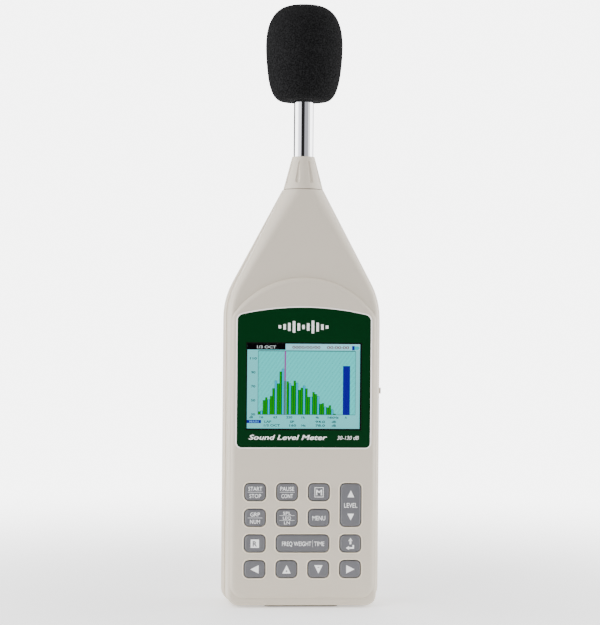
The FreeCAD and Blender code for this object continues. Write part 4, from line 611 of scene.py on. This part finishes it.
# painted shade in the open cells: the ramp darkens each cell's middle, where its pit lies, and lightens
# toward the cell walls
foam_pit_shade = foam_tree.nodes.new("ShaderNodeValToRGB")
foam_pit_shade.color_ramp.elements[0].position = 0.05
foam_pit_shade.color_ramp.elements[0].color = (0.0012, 0.0012, 0.0012, 1)
foam_pit_shade.color_ramp.elements[1].position = 0.75
foam_pit_shade.color_ramp.elements[1].color = (0.0150, 0.0150, 0.0155, 1)
foam_tree.links.new(foam_cells.outputs["Distance"], foam_pit_shade.inputs["Fac"])
foam_tree.links.new(foam_pit_shade.outputs["Color"], foam_shader.inputs["Base Color"])
foam_piece = sheet_piece("foam_windscreen", foam, foam_black, "windscreen")
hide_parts("windscreen")

# ---------------------------------------------------------------------------------------------------------
# Studio: a pale floor, a bright backdrop behind, softer light in front with two black cards that the chrome
# shows, a soft box high on the left and a weaker one on the right.
# ---------------------------------------------------------------------------------------------------------
floor_half, fade_near, fade_far, backdrop_power = 8, 0.1, 0.75, 6.0
floor_mesh = bpy.data.meshes.new("floor")
floor_form = bmesh.new()
bmesh.ops.create_grid(floor_form, x_segments=1, y_segments=1, size=floor_half)
floor_form.to_mesh(floor_mesh)
floor_form.free()
floor = bpy.data.objects.new("floor", floor_mesh)
bpy.context.scene.collection.objects.link(floor)
floor_paper = surface("floor_paper", (0.93, 0.93, 0.93), 0.8, blotch=(3, 0.003), gloss=0.1)
floor_paper.node_tree.nodes["Principled BSDF"].inputs["Emission Color"].default_value = (1, 1, 1, 1)
floor_paper.node_tree.nodes["Principled BSDF"].inputs["Emission Strength"].default_value = 0.5
floor_tree = floor_paper.node_tree
floor_way = floor_tree.nodes.new("ShaderNodeTexCoord")
floor_far = floor_tree.nodes.new("ShaderNodeVectorMath")
floor_far.operation = "LENGTH"
floor_fade = floor_tree.nodes.new("ShaderNodeMapRange")
floor_fade.interpolation_type = "SMOOTHSTEP"
floor_fade.inputs["From Min"].default_value = fade_near
floor_fade.inputs["From Max"].default_value = fade_far
floor_clear = floor_tree.nodes.new("ShaderNodeBsdfTransparent")
floor_both = floor_tree.nodes.new("ShaderNodeMixShader")
floor_tree.links.new(floor_way.outputs["Object"], floor_far.inputs[0])
floor_tree.links.new(floor_far.outputs["Value"], floor_fade.inputs["Value"])
floor_tree.links.new(floor_fade.outputs["Result"], floor_both.inputs["Fac"])
floor_tree.links.new(floor_tree.nodes["Principled BSDF"].outputs["BSDF"], floor_both.inputs[1])
floor_tree.links.new(floor_clear.outputs["BSDF"], floor_both.inputs[2])
floor_tree.links.new(floor_both.outputs["Shader"], floor_tree.nodes["Material Output"].inputs["Surface"])
floor_mesh.materials.append(floor_paper)

world = bpy.data.worlds.new("studio")
world.use_nodes = True
world_tree = world.node_tree
backdrop = world_tree.nodes["Background"]
backdrop.inputs["Strength"].default_value = backdrop_power
way = world_tree.nodes.new("ShaderNodeTexCoord")
parts = world_tree.nodes.new("ShaderNodeSeparateXYZ")
world_tree.links.new(way.outputs["Generated"], parts.inputs["Vector"])
ahead = world_tree.nodes.new("ShaderNodeMath")
ahead.operation = "MULTIPLY"
ahead.inputs[1].default_value = -1
world_tree.links.new(parts.outputs["Y"], ahead.inputs[0])
round_about = world_tree.nodes.new("ShaderNodeMath")
round_about.operation = "ARCTAN2"
world_tree.links.new(parts.outputs["X"], round_about.inputs[0])
world_tree.links.new(ahead.outputs["Value"], round_about.inputs[1])
share_round = world_tree.nodes.new("ShaderNodeMapRange")
share_round.inputs["From Min"].default_value = -math.pi
share_round.inputs["From Max"].default_value = math.pi
world_tree.links.new(round_about.outputs["Value"], share_round.inputs["Value"])
cards = world_tree.nodes.new("ShaderNodeValToRGB")
# degrees round from straight ahead of the meter, and the brightness there
shades = [
    (-180, 1.0), (-166, 1.0), (-163, 0.004), (-124, 0.004), (-116, 1.0), (-80, 1.0), (-62, 0.34), (-36,
        0.32), (-29, 0.004),
    (4, 0.004), (10, 0.10), (60, 0.11), (63, 0.015), (70, 0.015), (76, 1.0), (122, 1.0), (128, 0.25), (160,
        0.25),
    (166, 1.0), (180, 1.0),
]
ramp = cards.color_ramp
while len(ramp.elements) < len(shades):
    ramp.elements.new(0.5)
for stop, (degrees, shade) in zip(ramp.elements, shades):
    stop.position = (degrees + 180) / 360
for stop, (degrees, shade) in zip(ramp.elements, shades):
    stop.color = (shade, shade, shade * (1.0 if shade > 0.4 else 1.06), 1)
world_tree.links.new(share_round.outputs["Result"], cards.inputs["Fac"])
rise = world_tree.nodes.new("ShaderNodeMapRange")
rise.interpolation_type = "SMOOTHSTEP"
rise.inputs["From Min"].default_value = 0.35
rise.inputs["From Max"].default_value = 0.85
world_tree.links.new(parts.outputs["Z"], rise.inputs["Value"])
ceiling = world_tree.nodes.new("ShaderNodeMix")
ceiling.data_type = "RGBA"
ceiling.inputs["B"].default_value = (0.25, 0.25, 0.25, 1)
world_tree.links.new(rise.outputs["Result"], ceiling.inputs["Factor"])
world_tree.links.new(cards.outputs["Color"], ceiling.inputs["A"])
world_tree.links.new(ceiling.outputs["Result"], backdrop.inputs["Color"])
bpy.context.scene.world = world


def lamp(name, at, aim, wide, power):
    """A soft box that points at a place."""
    light = bpy.data.lights.new(name, "AREA")
    light.shape = "RECTANGLE"
    light.size, light.size_y = wide
    light.energy = power
    holder = bpy.data.objects.new(name, light)
    holder.location = at
    holder.rotation_euler = (Vector(aim) - Vector(at)).to_track_quat("-Z", "Y").to_euler()
    bpy.context.scene.collection.objects.link(holder)


meter_middle = (0, 0, 0.2)
lamp("key_light", (-0.75, -0.75, 1.15), meter_middle, (0.5, 0.5), 6)
lamp("fill_light", (0.9, -0.5, 0.6), meter_middle, (0.4, 0.8), 1.5)

# ---------------------------------------------------------------------------------------------------------
# Camera: at the height of the display's top, a little to the left, with a long lens.
# ---------------------------------------------------------------------------------------------------------
yaw, roll, far, eye, aside = math.radians(4), math.radians(0.5), 1.15, 0.1846, -0.0013
sensor_tall, view_tall = 24, 0.3975
lens = bpy.data.cameras.new("camera")
lens.sensor_fit = "VERTICAL"
lens.sensor_height = sensor_tall
lens.lens = sensor_tall * far / view_tall
camera = bpy.data.objects.new("camera", lens)
bpy.context.scene.collection.objects.link(camera)
camera.location = (-far * math.sin(yaw) + aside, -far * math.cos(yaw), eye)
aim = Matrix.Rotation(-yaw, 3, "Z") @ Matrix.Rotation(math.pi / 2, 3, "X") @ Matrix.Rotation(roll, 3, "Z")
camera.rotation_euler = aim.to_euler()
bpy.context.scene.camera = camera
